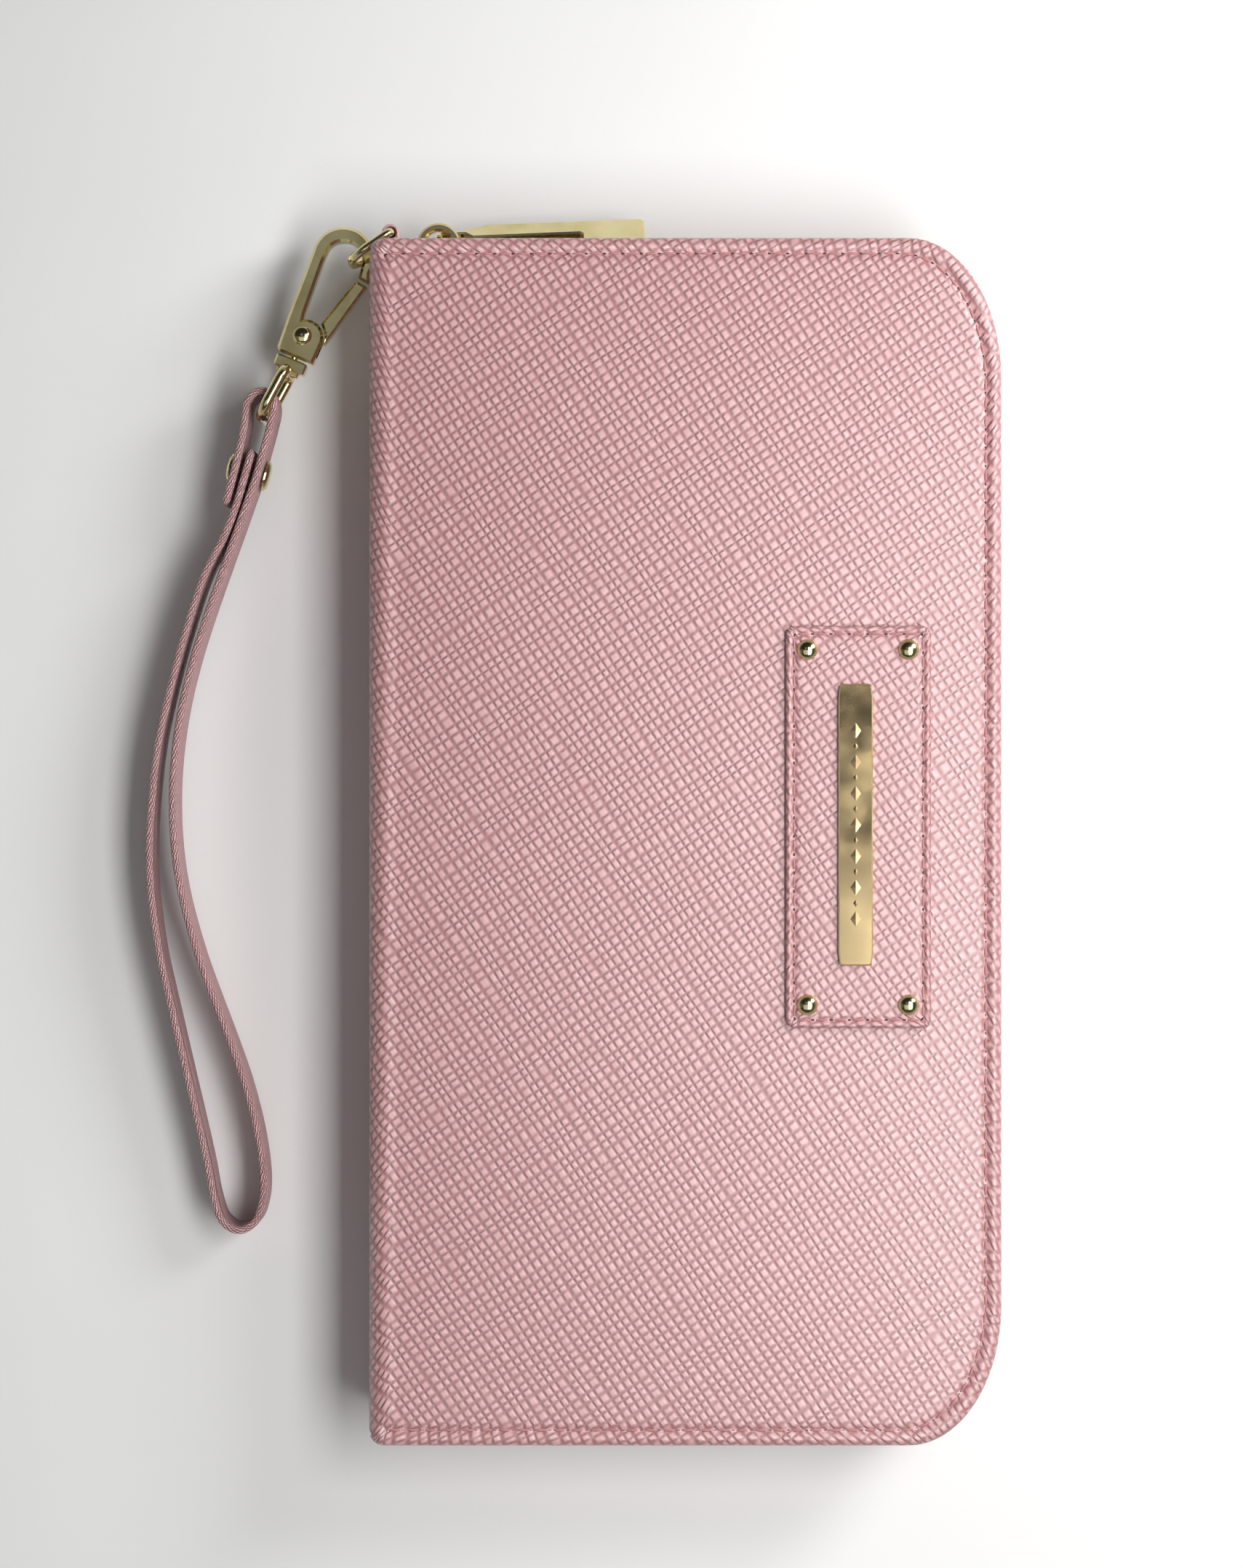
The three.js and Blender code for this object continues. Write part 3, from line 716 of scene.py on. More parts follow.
def needle_holes(name, ends, up, radius=0.33):
    """Small pits where the needle went through, longer along the seam; their dark colour is painted
    shade.
    """
    up = np.array(up, float)
    points, faces = [], []
    sides = 8
    for centre, along in zip(ends, unit(np.gradient(ends, axis=0))):
        side = np.cross(along, up)
        first = len(points)
        for a in full_turn(sides):
            points.append(centre + radius * (np.cos(a) * along * 0.9 + np.sin(a) * side * 1.2))
        points += [centre + up * 0.02, centre - up * 0.3]
        for k in range(first, first + sides):
            m = first + (k - first + 1) % sides
            faces += [(k, m, first + sides), (m, k, first + sides + 1)]
    return mesh_object(name, points, faces, sharp=40)


def copies(name, model, matrices):
    """One mesh of a small model placed many times."""
    verts = np.array([tuple(v.co) for v in model.data.vertices]) / MM
    polygons = [list(p.vertices) for p in model.data.polygons]
    points, faces = [], []
    for number, matrix in enumerate(matrices):
        matrix = np.array(matrix)
        points.append(verts @ matrix[:3, :3].T + matrix[:3, 3])
        offset = number * len(verts)
        faces += [[i + offset for i in polygon] for polygon in polygons]
    bpy.data.objects.remove(model)
    return mesh_object(name, np.vstack(points), faces, sharp=35)


def block(name, size, bevel):
    """A small rectangular piece with broken edges."""
    x, y, z = size
    r = min(bevel, x / 3, y / 3)
    outline = [(-x / 2, -y / 2), (x / 2, -y / 2), (x / 2, y / 2), (-x / 2, y / 2)]
    chamfered = []
    for (cx, cy), (ux, uy) in zip(outline, [(0, 1), (-1, 0), (0, -1), (1, 0)]):
        chamfered.append((cx + ux * r, cy + uy * r))
        chamfered.append((cx + uy * r, cy - ux * r))
    return plate(name, chamfered, [], z, bevel)


# ---- the padded covers ----


def cloth_dome():
    """How far padding lifts the leather between its seams, from a cloth simulation: a grid of
    heights in millimetres."""
    grid = CLOTH_GRID
    nx, ny = grid
    flat = coons(cover_loop(FIELD_INSET, grid), grid).reshape(-1, 2)
    obj = mesh_object("dome_cloth", at_height(flat, 0.0), grid_faces(grid))
    pins = obj.vertex_groups.new(name="seam")
    pins.add(grid_edge(grid).tolist(), 1.0, "REPLACE")
    cloth = obj.modifiers.new("cloth", "CLOTH")
    settings = cloth.settings
    settings.quality = 6
    settings.mass = 0.15
    settings.tension_stiffness = 25
    settings.compression_stiffness = 25
    settings.bending_stiffness = 0.5
    settings.vertex_group_mass = "seam"
    settings.use_pressure = True
    settings.uniform_pressure_force = 4.0
    settings.effector_weights.gravity = 0.0
    cloth.collision_settings.use_collision = False
    cloth.point_cache.frame_start = 1
    cloth.point_cache.frame_end = 20
    scene = bpy.context.scene
    for step in range(1, 21):
        scene.frame_set(step)
    evaluated = obj.evaluated_get(bpy.context.evaluated_depsgraph_get())
    height = np.array([v.co.z for v in evaluated.data.vertices]) / MM
    scene.frame_set(1)
    bpy.data.objects.remove(obj)
    height = np.abs(height).reshape(nx + 1, ny + 1)
    return np.tanh(height / DOME_CAP) * DOME_CAP


def enlarged(values, grid):
    """The same heights on a finer grid, smoothed."""
    nx, ny = grid
    for axis, count in ((1, ny), (0, nx)):
        old = np.linspace(0, 1, values.shape[axis])
        new = np.linspace(0, 1, count + 1)
        values = np.apply_along_axis(lambda row: np.interp(new, old, row), axis, values)
    for _ in range(6):
        inner = values[1:-1, 1:-1] * 4 + values[:-2, 1:-1] + values[2:, 1:-1]
        values[1:-1, 1:-1] = (inner + values[1:-1, :-2] + values[1:-1, 2:]) / 8
    return values


# Edges as (inset, z), from the padded field round and under to the recess.
UNDERSIDE = [
    (0.2, 19.2), (0.55, 18.8), (1.1, 18.62), (2.0, FRONT_INNER), (3.5, FRONT_INNER),
    (4.5, FRONT_INNER), (5.5, FRONT_INNER), (7.6, FRONT_INNER), (RECESS_INSET, 18.7),
    (RECESS_INSET, RECESS_ROOF),
]  # fmt: skip
SEAMED_EDGE = [
    (3.0, 21.74), (2.6, 21.5), (2.25, 21.68), (1.8, 21.92), (1.35, 22.0), (0.9, 21.93),
    (0.5, 21.7), (0.22, 21.35), (0.06, 20.9), (0.0, 20.3), (0.04, 19.7), *UNDERSIDE,
]  # fmt: skip
# The spine side: over a soft fold, down as the spine, and back up inside.
SPINE_FLAP = [
    (2.8, 21.98), (2.2, 21.9), (1.5, 21.62), (0.85, 21.1), (0.35, 20.4), (0.08, 19.6),
    (0.08, 18.6), (0.45, 17.0), (1.0, 14.0), (1.3, 10.0), (1.15, 6.0), (0.85, 4.0),
    (0.9, 3.5), (1.6, 3.45), (2.2, 3.6), (2.5, 5.0), (2.6, 12.0), (2.6, 17.8),
    (3.2, 18.55), (7.8, FRONT_INNER), (RECESS_INSET, RECESS_ROOF),
]  # fmt: skip
PLAIN_EDGE = [
    (2.8, 21.92), (2.2, 21.88), (1.6, 21.8), (1.1, 21.66), (0.75, 21.5), (0.45, 21.25),
    (0.25, 20.95), (0.1, 20.6), (0.02, 20.3), (0.0, 20.0), (0.04, 19.6), *UNDERSIDE,
]  # fmt: skip
# How far the thread ripples each of the first rings outside the field.
PUCKER = [0.03, 0.09, 0.08, 0.05, 0.03]


def cover_shell(name, dome, spine_side):
    """One cover's leather as for the front: padded field, sunk seam, rolled edge, underside."""
    grid = SHELL_GRID

    def loop_at(inset):
        return cover_loop(inset, grid)

    field = np.dstack([coons(loop_at(FIELD_INSET), grid), FIELD_Z + dome])
    seamed, seamed_uv = edge_rings(loop_at, SEAMED_EDGE, FIELD_INSET)
    plain, plain_uv = edge_rings(loop_at, spine_side, FIELD_INSET)
    reference = loop_at(0.6)
    nx, ny = grid
    on_left = np.arange(len(reference)) >= 2 * nx + ny
    on_left &= np.abs(reference[:, 1]) < FLAP_END_Y
    seam_run = lengths(np.vstack([loop_at(STITCH_INSET), loop_at(STITCH_INSET)[:1]]))[:-1]
    ripple = np.cos(2 * np.pi * seam_run / STITCH_PITCH)
    rings, uvs = [], []
    for k in range(len(SEAMED_EDGE)):
        ring = np.where(on_left[:, None], plain[k], seamed[k])
        uv = np.where(on_left[:, None], plain_uv[k], seamed_uv[k])
        if k < len(PUCKER):
            ring[:, 2] += np.where(on_left, 0, PUCKER[k] * ripple)
        rings.append(ring)
        uvs.append(uv)
    edge = grid_edge(grid)
    heights = field.reshape(-1, 3)[:, 2]
    heights[edge[2 * nx + ny :]] = THICKNESS
    return upholstered(name, grid, field, rings, uvs)


def open_sides(inset, left):
    """The outline round the three open sides, as far as x = left, from low y to high y."""
    grid = (200, 400)
    loop = cover_loop(inset, grid)[: 2 * grid[0] + grid[1] + 1]
    return loop[loop[:, 0] > left]


def flipped(obj, height=THICKNESS):
    """Turns a piece over, so that what was at z = 0 is at height."""
    moved(obj, Matrix.Translation((0, 0, height)) @ Matrix.Scale(-1, 4, (0, 0, 1)))
    obj.data.flip_normals()
    return obj


def make_covers():
    dome = enlarged(cloth_dome(), SHELL_GRID)
    front = cover_shell("front_shell", dome, SPINE_FLAP)
    finished(front, COVER_LEATHER, replaces=("front_cover", "spine"))
    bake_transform(front)
    back = flipped(cover_shell("back_shell", np.minimum(dome * BACK_DOME, 0.1), PLAIN_EDGE))
    finished(back, COVER_LEATHER, "back_half", ("back_cover",))
    path = open_sides(STITCH_INSET, SEAM_LEFT)
    for side, z, up in (("front", SEAM_Z, 1), ("back", THICKNESS - SEAM_Z, -1)):
        body = f"{side}_half"
        seam = at_height(path, z)
        run, ends = stitches(f"{side}_seam", seam, (0, 0, up))
        finished(run, THREAD, body)
        holes = needle_holes(f"{side}_needle_holes", ends + np.array([0, 0, 0.04 * up]), (0, 0, up))
        finished(holes, NEEDLE_HOLE_SHADE, body)


def make_filling():
    """Foam under each skin, crowned and soft at its edges, and the boards behind it."""
    grid = (24, 48)
    profile = [(8.6, 0.62), (8.35, 0.4), (8.3, 0.2), (8.4, 0.05), (8.8, 0.0)]
    profile = [(inset, FOAM_LOW + z) for inset, z in profile]

    def loop_at(inset):
        return cover_loop(inset, grid)

    for side in ("front", "back"):
        pad = crowned(f"{side}_foam_pad", grid, loop_at, FOAM_INSET, profile, FOAM_LOW + 0.64, 0.14)
        if side == "back":
            flipped(pad)
        finished(pad, FOAM, f"{side}_half", (f"{side}_foam",))
        finished(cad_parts[f"{side}_board"], BOARD)


# ---- linings and pockets ----

INNER_INSET = 7.6
INNER_LEFT = -46.6


def inner_panel(name, z, facing, right, material, slot, body):
    """A lining or pocket panel with a rolled hem; facing is 1 up and -1 down."""
    grid = (20, 40)
    hem = [(1.0, 0.62), (0.55, 0.66), (0.15, 0.5), (0.0, 0.3), (0.12, 0.08), (0.6, 0.0)]

    def loop_at(inset):
        cut = None if right is None else right - inset
        return cover_loop(INNER_INSET + inset, grid, INNER_LEFT + inset, cut)

    panel = crowned(name, grid, loop_at, 1.6, hem, 0.5, 0.12, 2)
    if facing < 0:
        flipped(panel, 0)
    moved(panel, Matrix.Translation((0, 0, z)))
    finished(panel, material, body, (name,))
    panel.name = f"{name}_leather" if slot == "pocket_leather" else f"{name}_cloth"
    if right is not None:
        line = [(right - 1.5, y, z + facing * 0.62) for y in (-78, 78)]
        run, _ = stitches(f"{name}_hem_stitches", line, (0, 0, facing), 3.0, 0.16)
        finished(run, THREAD, body)


def make_inside():
    pockets = [
        ("slip_pocket", 4.3, 40.0),
        ("card_pocket_1", 5.2, 34.0),
        ("card_pocket_2", 6.1, 22.0),
        ("card_pocket_3", 7.0, 10.0),
        ("card_pocket_4", 7.9, -2.0),
    ]
    inner_panel("back_lining", BACK_INNER, 1, None, LINING, "lining_fabric", "back_half")
    inner_panel("front_lining", FRONT_INNER, -1, None, LINING, "lining_fabric", "front_half")
    for name, z, edge in pockets:
        inner_panel(name, z, 1, edge, POCKET_LEATHER, "pocket_leather", "back_half")
    inner_panel("phone_pocket", 16.8, -1, 22.0, POCKET_LEATHER, "pocket_leather", "front_half")


# ---- zip ----


def zip_path(count):
    return resampled(open_sides(ZIP_INSET, ZIP_LEFT), count)


def make_tape(name, low, high, body):
    """The zip's woven tape, a little bowed out, rolled over a cord at its toothed edge."""
    teeth_run = zip_path(420)
    tucked = [(TAPE_LEFT, teeth_run[0][1]), *teeth_run, (TAPE_LEFT, teeth_run[-1][1])]
    path = resampled(tucked, 420)
    outward = rightward(np.gradient(path, axis=0))
    toothed_high = body == "back_half"
    section = []
    for t in np.linspace(0, 1, 9):
        bow = 0.22 * math.sin(math.pi * t)
        near_teeth = t if toothed_high else 1 - t
        half = 0.36 + (0.24 if near_teeth > 0.8 else 0)
        section.append((bow, half, low + (high - low) * t))
    across = [(bow + half, z) for bow, half, z in section]
    across += [(bow - half, z) for bow, half, z in reversed(section)]
    uvs = [(run, walked) for run in lengths(path) for walked in lengths(np.array(across))]
    rings = []
    for spot, out in zip(path, outward):
        rings.append([(*(spot + out * offset), z) for offset, z in across])
    tape = swept(f"{name}_weave", rings, uvs=uvs, sharp=50)
    finished(tape, TAPE, body, (name,))


def make_teeth(name, low, high, shift, body):
    """Rounded metal teeth at even pitch along the zip."""
    total = lengths(zip_path(600))[-1]
    count = int(total / TEETH_PITCH)
    path = zip_path(count * 2)
    ahead = np.gradient(path, axis=0)
    matrices = []
    for i in range(1 + shift, len(path) - 1, 2):
        turn = Matrix.Rotation(math.atan2(ahead[i][1], ahead[i][0]), 4, "Z")
        place = Matrix.Translation((path[i][0], path[i][1], (low + high) / 2))
        matrices.append(place @ turn)
    tooth = block("tooth", (0.66, 2.3, high - low), 0.16)
    finished(copies(f"{name}_teeth", tooth, matrices), ZIP_GOLD, body, (name,))


def make_zip():
    make_tape("zip_tape_back", BACK_INNER, TAPE_EDGES[0], "back_half")
    make_tape("zip_tape_front", TAPE_EDGES[1], FRONT_INNER, "front_half")
    make_teeth("zip_chain_back", *TEETH_Z[0], 0, "back_half")
    make_teeth("zip_chain_front", *TEETH_Z[1], 1, "front_half")
    x, y = STOP_AT
    stops = [
        ("zip_top_stop_back", y, TEETH_Z[0][0], "back_half"),
        ("zip_bottom_stop", -y, TEETH_Z[0][0], "back_half"),
        ("zip_top_stop_front", y, 11.5, "front_half"),
    ]
    for name, y, low, body in stops:
        clip = block(f"{name}_clip", (1.45, 2.4, 1.6), 0.25)
        moved(clip, Matrix.Translation((x, y, low + 0.8)))
        finished(clip, ZIP_GOLD, body, (name,))


def make_slider():
    """Two plates joined by a post, with the arch that holds the pull."""
    upright = Matrix.Rotation(math.radians(-90), 4, "X")
    plates = []
    for low in (87.6, 91.5):
        shape = rounded_loop(-3.5, 3.5, -3.6, 3.6, [(1.4, 1.4)] * 4, (12, 12))
        wafer = plate("wafer", shape, [], 0.9, 0.25, 2)
        plates.append(moved(wafer, Matrix.Translation((0, low + 0.45, 0)) @ upright))
    post = moved(block("post", (3.2, 3.6, 0.4), 0.1), Matrix.Translation((0, 90, 0)))
    outer = [(3.5, CROWN_FOOT), *arc(0, CROWN_Y, 3.5, 3.5, 0, 180, 28), (-3.5, CROWN_FOOT)]
    inner = [(-2.2, CROWN_FOOT), *arc(0, CROWN_Y, 2.2, 2.2, 180, 0, 28), (2.2, CROWN_FOOT)]
    crown = plate("crown", np.vstack([outer, inner]), [], 1.8, 0.32, 1)
    slider = joined("zip_slider_body", *plates, post, crown)
    moved(slider, Matrix.Translation((SLIDER_X, 0, MID_Z)))
    finished(slider, ZIP_GOLD, "slider", ("zip_slider",))


def both_sides(upper):
    """A closed outline from its upper half."""
    upper = np.array(upper, float)
    return np.vstack([upper * (1, -1), upper[::-1]])


def make_pull():
    head = [(-0.5, 1.85), (-0.2, 2.5), (0.6, 2.95), (3.6, 2.95), (7.6, 4.25)]
    head += [(32.4, 4.25), (33, 3.65)]
    hole = [(0.6, 2.15), (4.2, 2.15), (5.4, 1.1), (22.6, 1.1), (23, 0.7)]
    pull = plate("zip_pull_tab", both_sides(head), [both_sides(hole)], 1.4, 0.26, 1)
    tilt = Matrix.Rotation(math.radians(-45), 4, "X")
    turn = Matrix.Rotation(math.radians(2.3), 4, "Z")
    moved(pull, Matrix.Translation((SLIDER_X, CROWN_Y, MID_Z)) @ turn @ tilt)
    finished(pull, GOLD, "pull", ("zip_pull",))


# ---- patch, studs and nameplate ----


def make_patch():
    grid = (32, 84)
    low = PATCH_BASE
    profile = [(1.62, 0.98), (1.3, 0.8), (1.02, 0.96), (0.7, 1.12), (0.4, 1.1), (0.16, 0.92),
               (0.02, 0.62), (0.0, 0.3), (0.12, 0.0), (0.7, -0.2)]  # fmt: skip

    def loop_at(inset):
        return rect_loop(PATCH, inset, grid)

    profile = [(inset, low + z) for inset, z in profile]
    patch = crowned("patch_leather", grid, loop_at, 2.0, profile, low + 1.04, 0.06)
    finished(patch, PATCH_LEATHER, "front_half", ("patch",))
    seam = at_height(rect_loop(PATCH, 1.3, (60, 160)), low + 0.85)
    run, ends = stitches("patch_seam", np.vstack([seam, seam[:1]]), (0, 0, 1), 2.85, 0.17)
    finished(run, THREAD, "front_half")
    holes = needle_holes("patch_needle_holes", ends[:-1] + np.array([0, 0, 0.02]), (0, 0, 1), 0.3)
    finished(holes, NEEDLE_HOLE_SHADE, "front_half")

    top = low + PATCH_TOP
    dome = [(0, -0.2), (STUD_R, -0.2), (STUD_R, 0.05)]
    for a in np.radians([14, 28, 42, 56, 70, 80]):
        dome.append((STUD_R * math.cos(a), 0.05 + 0.95 * math.sin(a)))
    dome.append((0, 1.0))
    for i, (x, y) in enumerate(STUDS, 1):
        stud = moved(lathe(f"stud_{i}_dome", dome), Matrix.Translation((x, y, top)))
        finished(stud, GOLD, "front_half", (f"stud_{i}",))
    make_nameplate(top)


def facet(x, y, wide, long, low, rise):
    """A raised lozenge with four sloping faces, sunk a little into what it stands on."""
    ring = [(x + wide, y), (x, y + long), (x - wide, y), (x, y - long)]
    points = [(*spot, low) for spot in ring] + [(x, y, low + rise), (x, y, low - 0.1)]
    faces = [(k, (k + 1) % 4, 4) for k in range(4)] + [((k + 1) % 4, k, 5) for k in range(4)]
    return mesh_object("facet", points, faces, sharp=5)


def make_nameplate(top):
    """The metal plate, with a plain row of raised lozenges, long and short by turns, made of dark
    metal as painted shade for engraved marks.
    """
    face = rect_loop(PLATE, 0, (24, 24))
    bar = plate("bar", face, [], PLATE["t"], 0.2, 1)
    moved(bar, Matrix.Translation((0, 0, top + PLATE["t"] / 2)))
    marks = []
    for k in range(-6, 7):
        wide, long = (0.85, 1.25) if k % 2 == 0 else (0.4, 0.6)
        marks.append(facet(PLATE["x"], PLATE["y"] + k * 2.45, wide, long, top + PLATE["t"], 0.1))
    bar.name = "nameplate_bar"
    finished(bar, PLATE_GOLD, "front_half", ("nameplate",))
    # the lozenges' dark metal is painted shade
    finished(joined("nameplate_lozenges", *marks), PLATE_MARK_SHADE, "front_half")


# ---- tab, D-ring and trigger hook ----


def ring_path(depth, half_width, near_r, far_r):
    """A closed loop in the x-z plane: a straight bar at x = 0, and a round-cornered far side."""
    parts = [
        arc(near_r, -half_width + near_r, near_r, near_r, -90, -180, 8),
        arc(near_r, half_width - near_r, near_r, near_r, 180, 90, 8),
        arc(depth - far_r, half_width - far_r, far_r, far_r, 90, 0, 14),
        arc(depth - far_r, -half_width + far_r, far_r, far_r, 0, -90, 14),
    ]
    loop = np.vstack(parts)
    even = at_height(resampled(np.vstack([loop, loop[:1]]), 96)[:-1], 0.0)
    return even[:, [0, 2, 1]]


def make_tab():
    x, y = RING_NEAR
    r, foot = 1.35, 92.9
    outline = [(x + r, foot), *arc(x, y, r, r, 0, 180, 20), (x - r, foot)]
    bore = arc(x, y, 0.95, 0.95, 0, 360, 24)[:-1]
    tab = plate("ring_tab_leather", outline, [bore], 8.2, 0.22, 2, sharp=60)
    moved(tab, Matrix.Translation((0, 0, MID_Z)))
    finished(tab, POCKET_LEATHER, "back_half", ("ring_tab",))


def make_ring():
    dx, dy = RING_FAR[0] - RING_NEAR[0], RING_FAR[1] - RING_NEAR[1]
    ring = closed_tube("d_ring_wire", ring_path(math.hypot(dx, dy), 5, 0.9, 3.6), 0.7)
    turn = Matrix.Rotation(math.atan2(dy, dx), 4, "Z")
    moved(ring, Matrix.Translation((*RING_NEAR, MID_Z)) @ turn)
    finished(ring, GOLD, "ring", ("d_ring",))


def hook_place():
    return Matrix.Translation(HOOK_AT) @ Matrix.Rotation(math.radians(HOOK_TURN), 4, "Z")


def hook_outline():
    deg = math.degrees
    hub = arc(0.6, 0, 2.8, 2.8, 0, deg(2.1), 14)
    inner = arc(1.55, 13.6, 3.05, 3.05, deg(2.85), deg(0.1), 22)
    outer = arc(1.3, 14, 4.95, 4.95, deg(-0.15), deg(3.3), 30)
    return np.vstack([
        [(-2.5, -3.7), (3.3, -3.7)], hub, [(-1, 3.4), (-1.45, 12.3)], inner,
        [(4.8, 11.9), (6.75, 11.6)], outer, [(-3.3, 2.2), (-3, -3.2)],
    ])  # fmt: skip


def make_hook():
    place = hook_place()
    body = plate("hook_frame_body", hook_outline(), [], 3.2, 0.45, 1)
    slot = [(-1.9, -2.4), (5, -2.4), (5, 5), (0.5, 5), (-0.9, 2.6), (-1.9, 1)]
    slot = plate("slot", slot, [], 1.8, 0.02)
    carve(body, slot)
    finished(moved(body, place), GOLD, "hook", ("hook_frame",))

    head = [(0, 2.34), (0.5, 2.32), (1.0, 2.2), (1.35, 2.0), (1.55, 1.72), (1.55, 1.62), (0.6, 1.6)]
    profile = [(r, -z) for r, z in head] + [(r, z) for r, z in reversed(head)]
    rivet = lathe("hook_rivet_dome", profile)
    finished(moved(rivet, place), GOLD, "hook", ("hook_rivet",))

    steps = np.arange(61)
    angles = np.radians(steps * 18)
    turns = np.column_stack([1.15 * np.cos(angles), 1.15 * np.sin(angles), -0.72 + 0.006 * steps])
    ahead = unit(np.gradient(turns, axis=0))
    side = unit(np.cross(ahead, (0, 0, 1)))
    coil = tube("gate_spring_coil", turns, 0.12, side, np.cross(side, ahead), 10)
    finished(moved(coil, place), STEEL, "hook", ("gate_spring",))


def make_gate():
    outline = [(3.8, -0.1), (6.6, 11.1), (4.6, 11.4), (2.1, 2.9), (3.4, 1.4)]
    arm = plate("arm", outline, [], 3.2, 0.4)
    tongue = np.vstack([[(1.5, -1.3), (2.5, -1), (4, 1.2), (2.9, 3.4)],
                        arc(0, 0, 1.5, 1.5, math.degrees(2.2), math.degrees(4.6), 14)])
    bore = arc(0, 0, 0.8, 0.8, 0, 360, 24)[:-1]
    leaf = moved(plate("leaf", tongue, [bore], 0.8, 0.06), Matrix.Translation((0, 0, 0.35)))
    gate = joined("hook_gate_arm", arm, leaf)
    finished(moved(gate, hook_place()), GOLD, "gate", ("hook_gate",))


def make_eye():
    spec = {"x": 0, "y": -5, "w": 5.2, "l": 2.0, "r": 0.4}
    collar = plate("collar", rect_loop(spec, 0, (8, 8)), [], 3.2, 0.3, 1)
    neck = {"x": 0, "y": -6.3, "w": 3.6, "l": 1.0, "r": 0.2}
    flange = plate("flange", rect_loop(neck, 0, (8, 8)), [], 2.4, 0.15, 1)
    loop = closed_tube("loop", ring_path(8.4, 5.65, 1.5, 3), 0.85)
    moved(loop, Matrix.Translation((0, -6.2, 0)) @ Matrix.Rotation(math.radians(-96), 4, "Z"))
    pin = [(0, -0.8), (0.6, -0.8), (0.65, -0.7), (0.65, 0.7), (0.6, 0.8), (0, 0.8)]
    stem = lathe("stem", pin, 24)
    moved(stem, Matrix.Translation((0, -3.7, 0)) @ Matrix.Rotation(math.radians(90), 4, "X"))
    eye = joined("swivel_eye_loop", collar, flange, loop, stem)
    finished(moved(eye, hook_place()), GOLD, "eye", ("swivel_eye",))


# ---- wrist strap ----


def smooth_route(points, steps=12):
    """A centripetal spline through the points, as the CAD's strap follows."""
    points = np.array(points, float)
    points = np.vstack([2 * points[0] - points[1], points, 2 * points[-1] - points[-2]])

    def between(t, start, a, end, b):
        return (end - t) / (end - start) * a + (t - start) / (end - start) * b

    out = []
    for p0, p1, p2, p3 in zip(points, points[1:], points[2:], points[3:]):
        knots = [0.0]
        for a, b in ((p0, p1), (p1, p2), (p2, p3)):
            knots.append(knots[-1] + max(np.linalg.norm(b - a), 1e-6) ** 0.5)
        t0, t1, t2, t3 = knots
        for t in np.linspace(t1, t2, steps, endpoint=False):
            a1, a2 = between(t, t0, p0, t1, p1), between(t, t1, p1, t2, p2)
            a3 = between(t, t2, p2, t3, p3)
            b1, b2 = between(t, t0, a1, t2, a2), between(t, t1, a2, t3, a3)
            out.append(between(t, t1, b1, t2, b2))
    out.append(points[-2])
    return np.array(out)


def strap_z(y):
    """The strap's height, which rises evenly from the foot of its loop to the eye."""
    (foot_y, foot_z), (eye_y, eye_z) = STRAP_ENDS
    return foot_z + (eye_z - foot_z) * np.clip((y - foot_y) / (eye_y - foot_y), 0, 1)


def make_strap():
    path = resampled(smooth_route(STRAP_ROUTE), 420)
    outward = rightward(np.gradient(path, axis=0))
    corner = 0.52
    half_t, half_w = STRAP_T / 2 - corner, STRAP_W / 2 - corner
    section = np.vstack([
        arc(x * half_t, y * half_w, corner, corner, 90 * k, 90 * k + 90, 4)
        for k, (x, y) in enumerate([(1, 1), (-1, 1), (-1, -1), (1, -1)])
    ])
    flats = []
    for k, point in enumerate(section):
        flats.append(point)
        nxt = section[(k + 1) % len(section)]
        if np.linalg.norm(nxt - point) > 3:
            flats += [point + (nxt - point) * t for t in (0.2, 0.4, 0.6, 0.8)]
    section = np.array(flats)
    run = lengths(path)
    rings = []
    for spot, side, gone in zip(path, outward, run):
        from_end = min(gone, run[-1] - gone)
        tip = 0.35 + 0.65 * math.sqrt(1 - (1 - min(from_end / 0.9, 1)) ** 2)
        flat = spot + side * section[:, :1] * tip
        rings.append(np.column_stack([flat, strap_z(spot[1]) + section[:, 1] * (0.9 + 0.1 * tip)]))
    uvs = [(gone, walked) for gone in run for walked in lengths(section)]
    strap = swept("wrist_strap_leather", rings, uvs=uvs, sharp=60)
    finished(strap, STRAP_LEATHER, "strap", ("wrist_strap",))

    turn = math.radians(STRAP_RIVET_TURN)
    centre = Vector((*STRAP_RIVET, strap_z(STRAP_RIVET[1])))
    along = Matrix.Rotation(turn, 4, "Z") @ Matrix.Rotation(math.radians(90), 4, "Y")
    low, rim = STRAP_STACK - 0.05, 2.5
    cap = [(0, low), (rim - 0.1, low), (rim, low + 0.1), (rim - 0.06, low + 0.32)]
    cap += [(rim - 0.5, low + 0.62), (rim * 0.5, low + 0.8), (0, low + 0.85)]
    head = lathe("head", cap)
    post = lathe("post", [(0, -low), (0.8, -low), (0.8, low), (0, low)], 24)
    front = moved(joined("strap_rivet_head", head, post), Matrix.Translation(centre) @ along)
    finished(front, GOLD, "strap", ("strap_rivet_post",))
    back = moved(lathe("strap_rivet_back", cap), Matrix.Rotation(math.pi, 4, "X"))
    moved(back, Matrix.Translation(centre) @ along)
    finished(back, GOLD, "strap", ("strap_rivet_cap",))


# ---- camera, floor and lights ----


def make_camera():
    data = bpy.data.cameras.new("camera")
    data.lens = 84.55
    camera = bpy.data.objects.new("camera", data)
    camera.location = (-0.00999, 0.00908, 0.600)
    bpy.context.scene.collection.objects.link(camera)
    bpy.context.scene.camera = camera


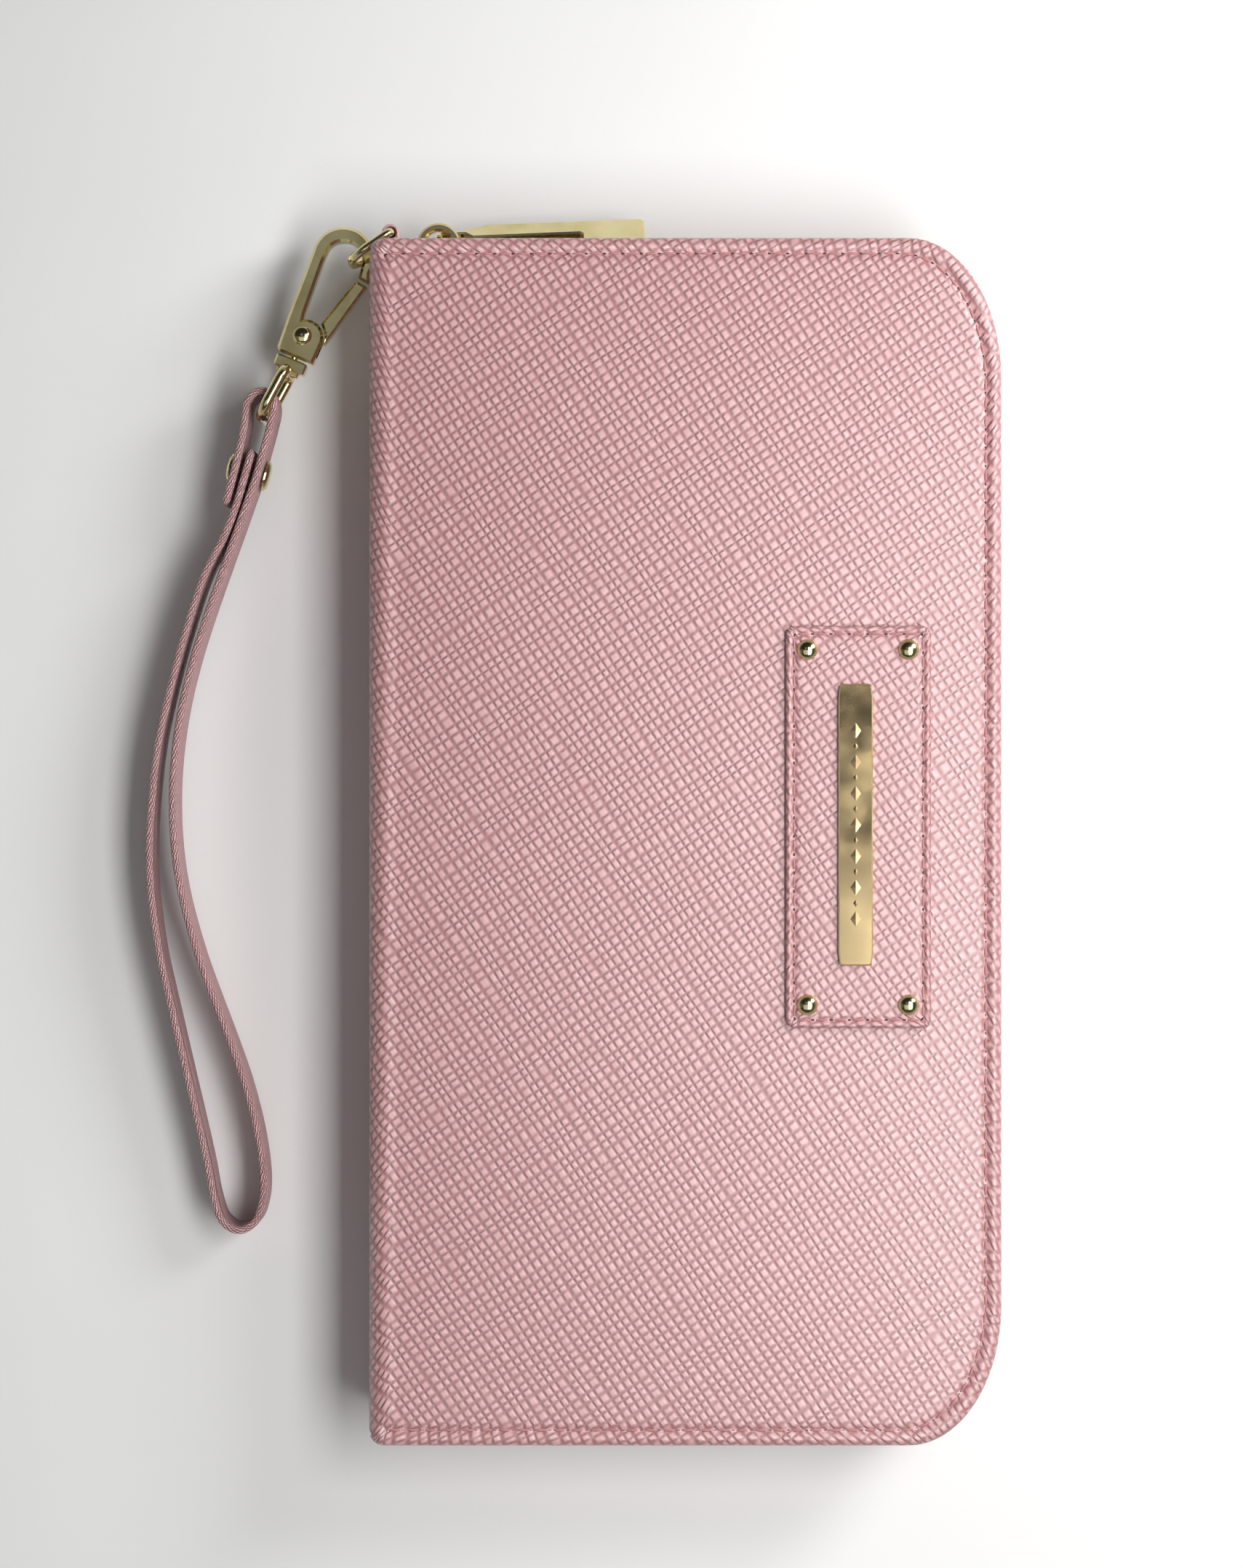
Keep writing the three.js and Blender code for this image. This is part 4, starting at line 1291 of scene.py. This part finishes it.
def make_floor():
    mesh = bpy.data.meshes.new("floor")
    bm = bmesh.new()
    bmesh.ops.create_grid(bm, x_segments=8, y_segments=8, size=3.0)
    bm.to_mesh(mesh)
    bm.free()
    floor = bpy.data.objects.new("floor", mesh)
    floor.location.z = -0.00005
    bpy.context.scene.collection.objects.link(floor)
    material, tree, shader = new_material("floor_paper")
    cloud = noise(tree, object_place(tree), 40.0, 3.0)
    tone = blend_colour(tree, cloud, (0.80, 0.80, 0.79, 1), (0.83, 0.83, 0.82, 1))
    tree.links.new(tone, shader.inputs["Base Color"])
    shader.inputs["Roughness"].default_value = 0.8
    floor.data.materials.append(material)


def area_light(name, place, target, size, power):
    data = bpy.data.lights.new(name, "AREA")
    data.shape = "RECTANGLE"
    data.size, data.size_y = size
    data.energy = power
    light = bpy.data.objects.new(name, data)
    light.location = place
    aim = Vector(target) - Vector(place)
    light.rotation_euler = aim.to_track_quat("-Z", "Y").to_euler()
    bpy.context.scene.collection.objects.link(light)


def make_lights():
    """A studio tent: pale low down and dark overhead, with soft panels above and at the right."""
    world = bpy.data.worlds.new("studio")
    world.use_nodes = True
    tree = world.node_tree
    place = node(tree, "TexCoord", {}).outputs["Generated"]
    parts = node(tree, "SeparateXYZ", {0: place})
    strength = remap(tree, parts.outputs[2], 0.25, 0.6, 0.36, 0.022)
    background = tree.nodes["Background"]
    background.inputs["Color"].default_value = (1, 1, 1, 1)
    tree.links.new(strength, background.inputs["Strength"])
    bpy.context.scene.world = world
    area_light("key", (0.30, 0.20, 0.26), (0.03, 0, 0), (0.12, 0.2), 1.2)
    area_light("sheen", (0.19, -0.07, 0.5), (0.19, -0.07, 0), (0.2, 0.46), 2.45)
    area_light("overhead", (0.05, -0.43, 1.2), (0.05, -0.43, 0), (1.3, 0.8), 2.0)
    area_light("left_fill", (-0.5, -0.1, 0.3), (0, 0, 0), (0.3, 0.6), 0.06)
    area_light("hook_card", (-0.137, 0.2, 0.9), (-0.06, 0.085, 0.01), (0.16, 0.16), 0.022)


make_camera()
make_floor()
make_lights()
make_covers()
make_filling()
make_inside()
make_zip()
make_slider()
make_pull()
make_patch()
make_tab()
make_ring()
make_hook()
make_gate()
make_eye()
make_strap()
bpy.context.scene.view_settings.view_transform = "Standard"
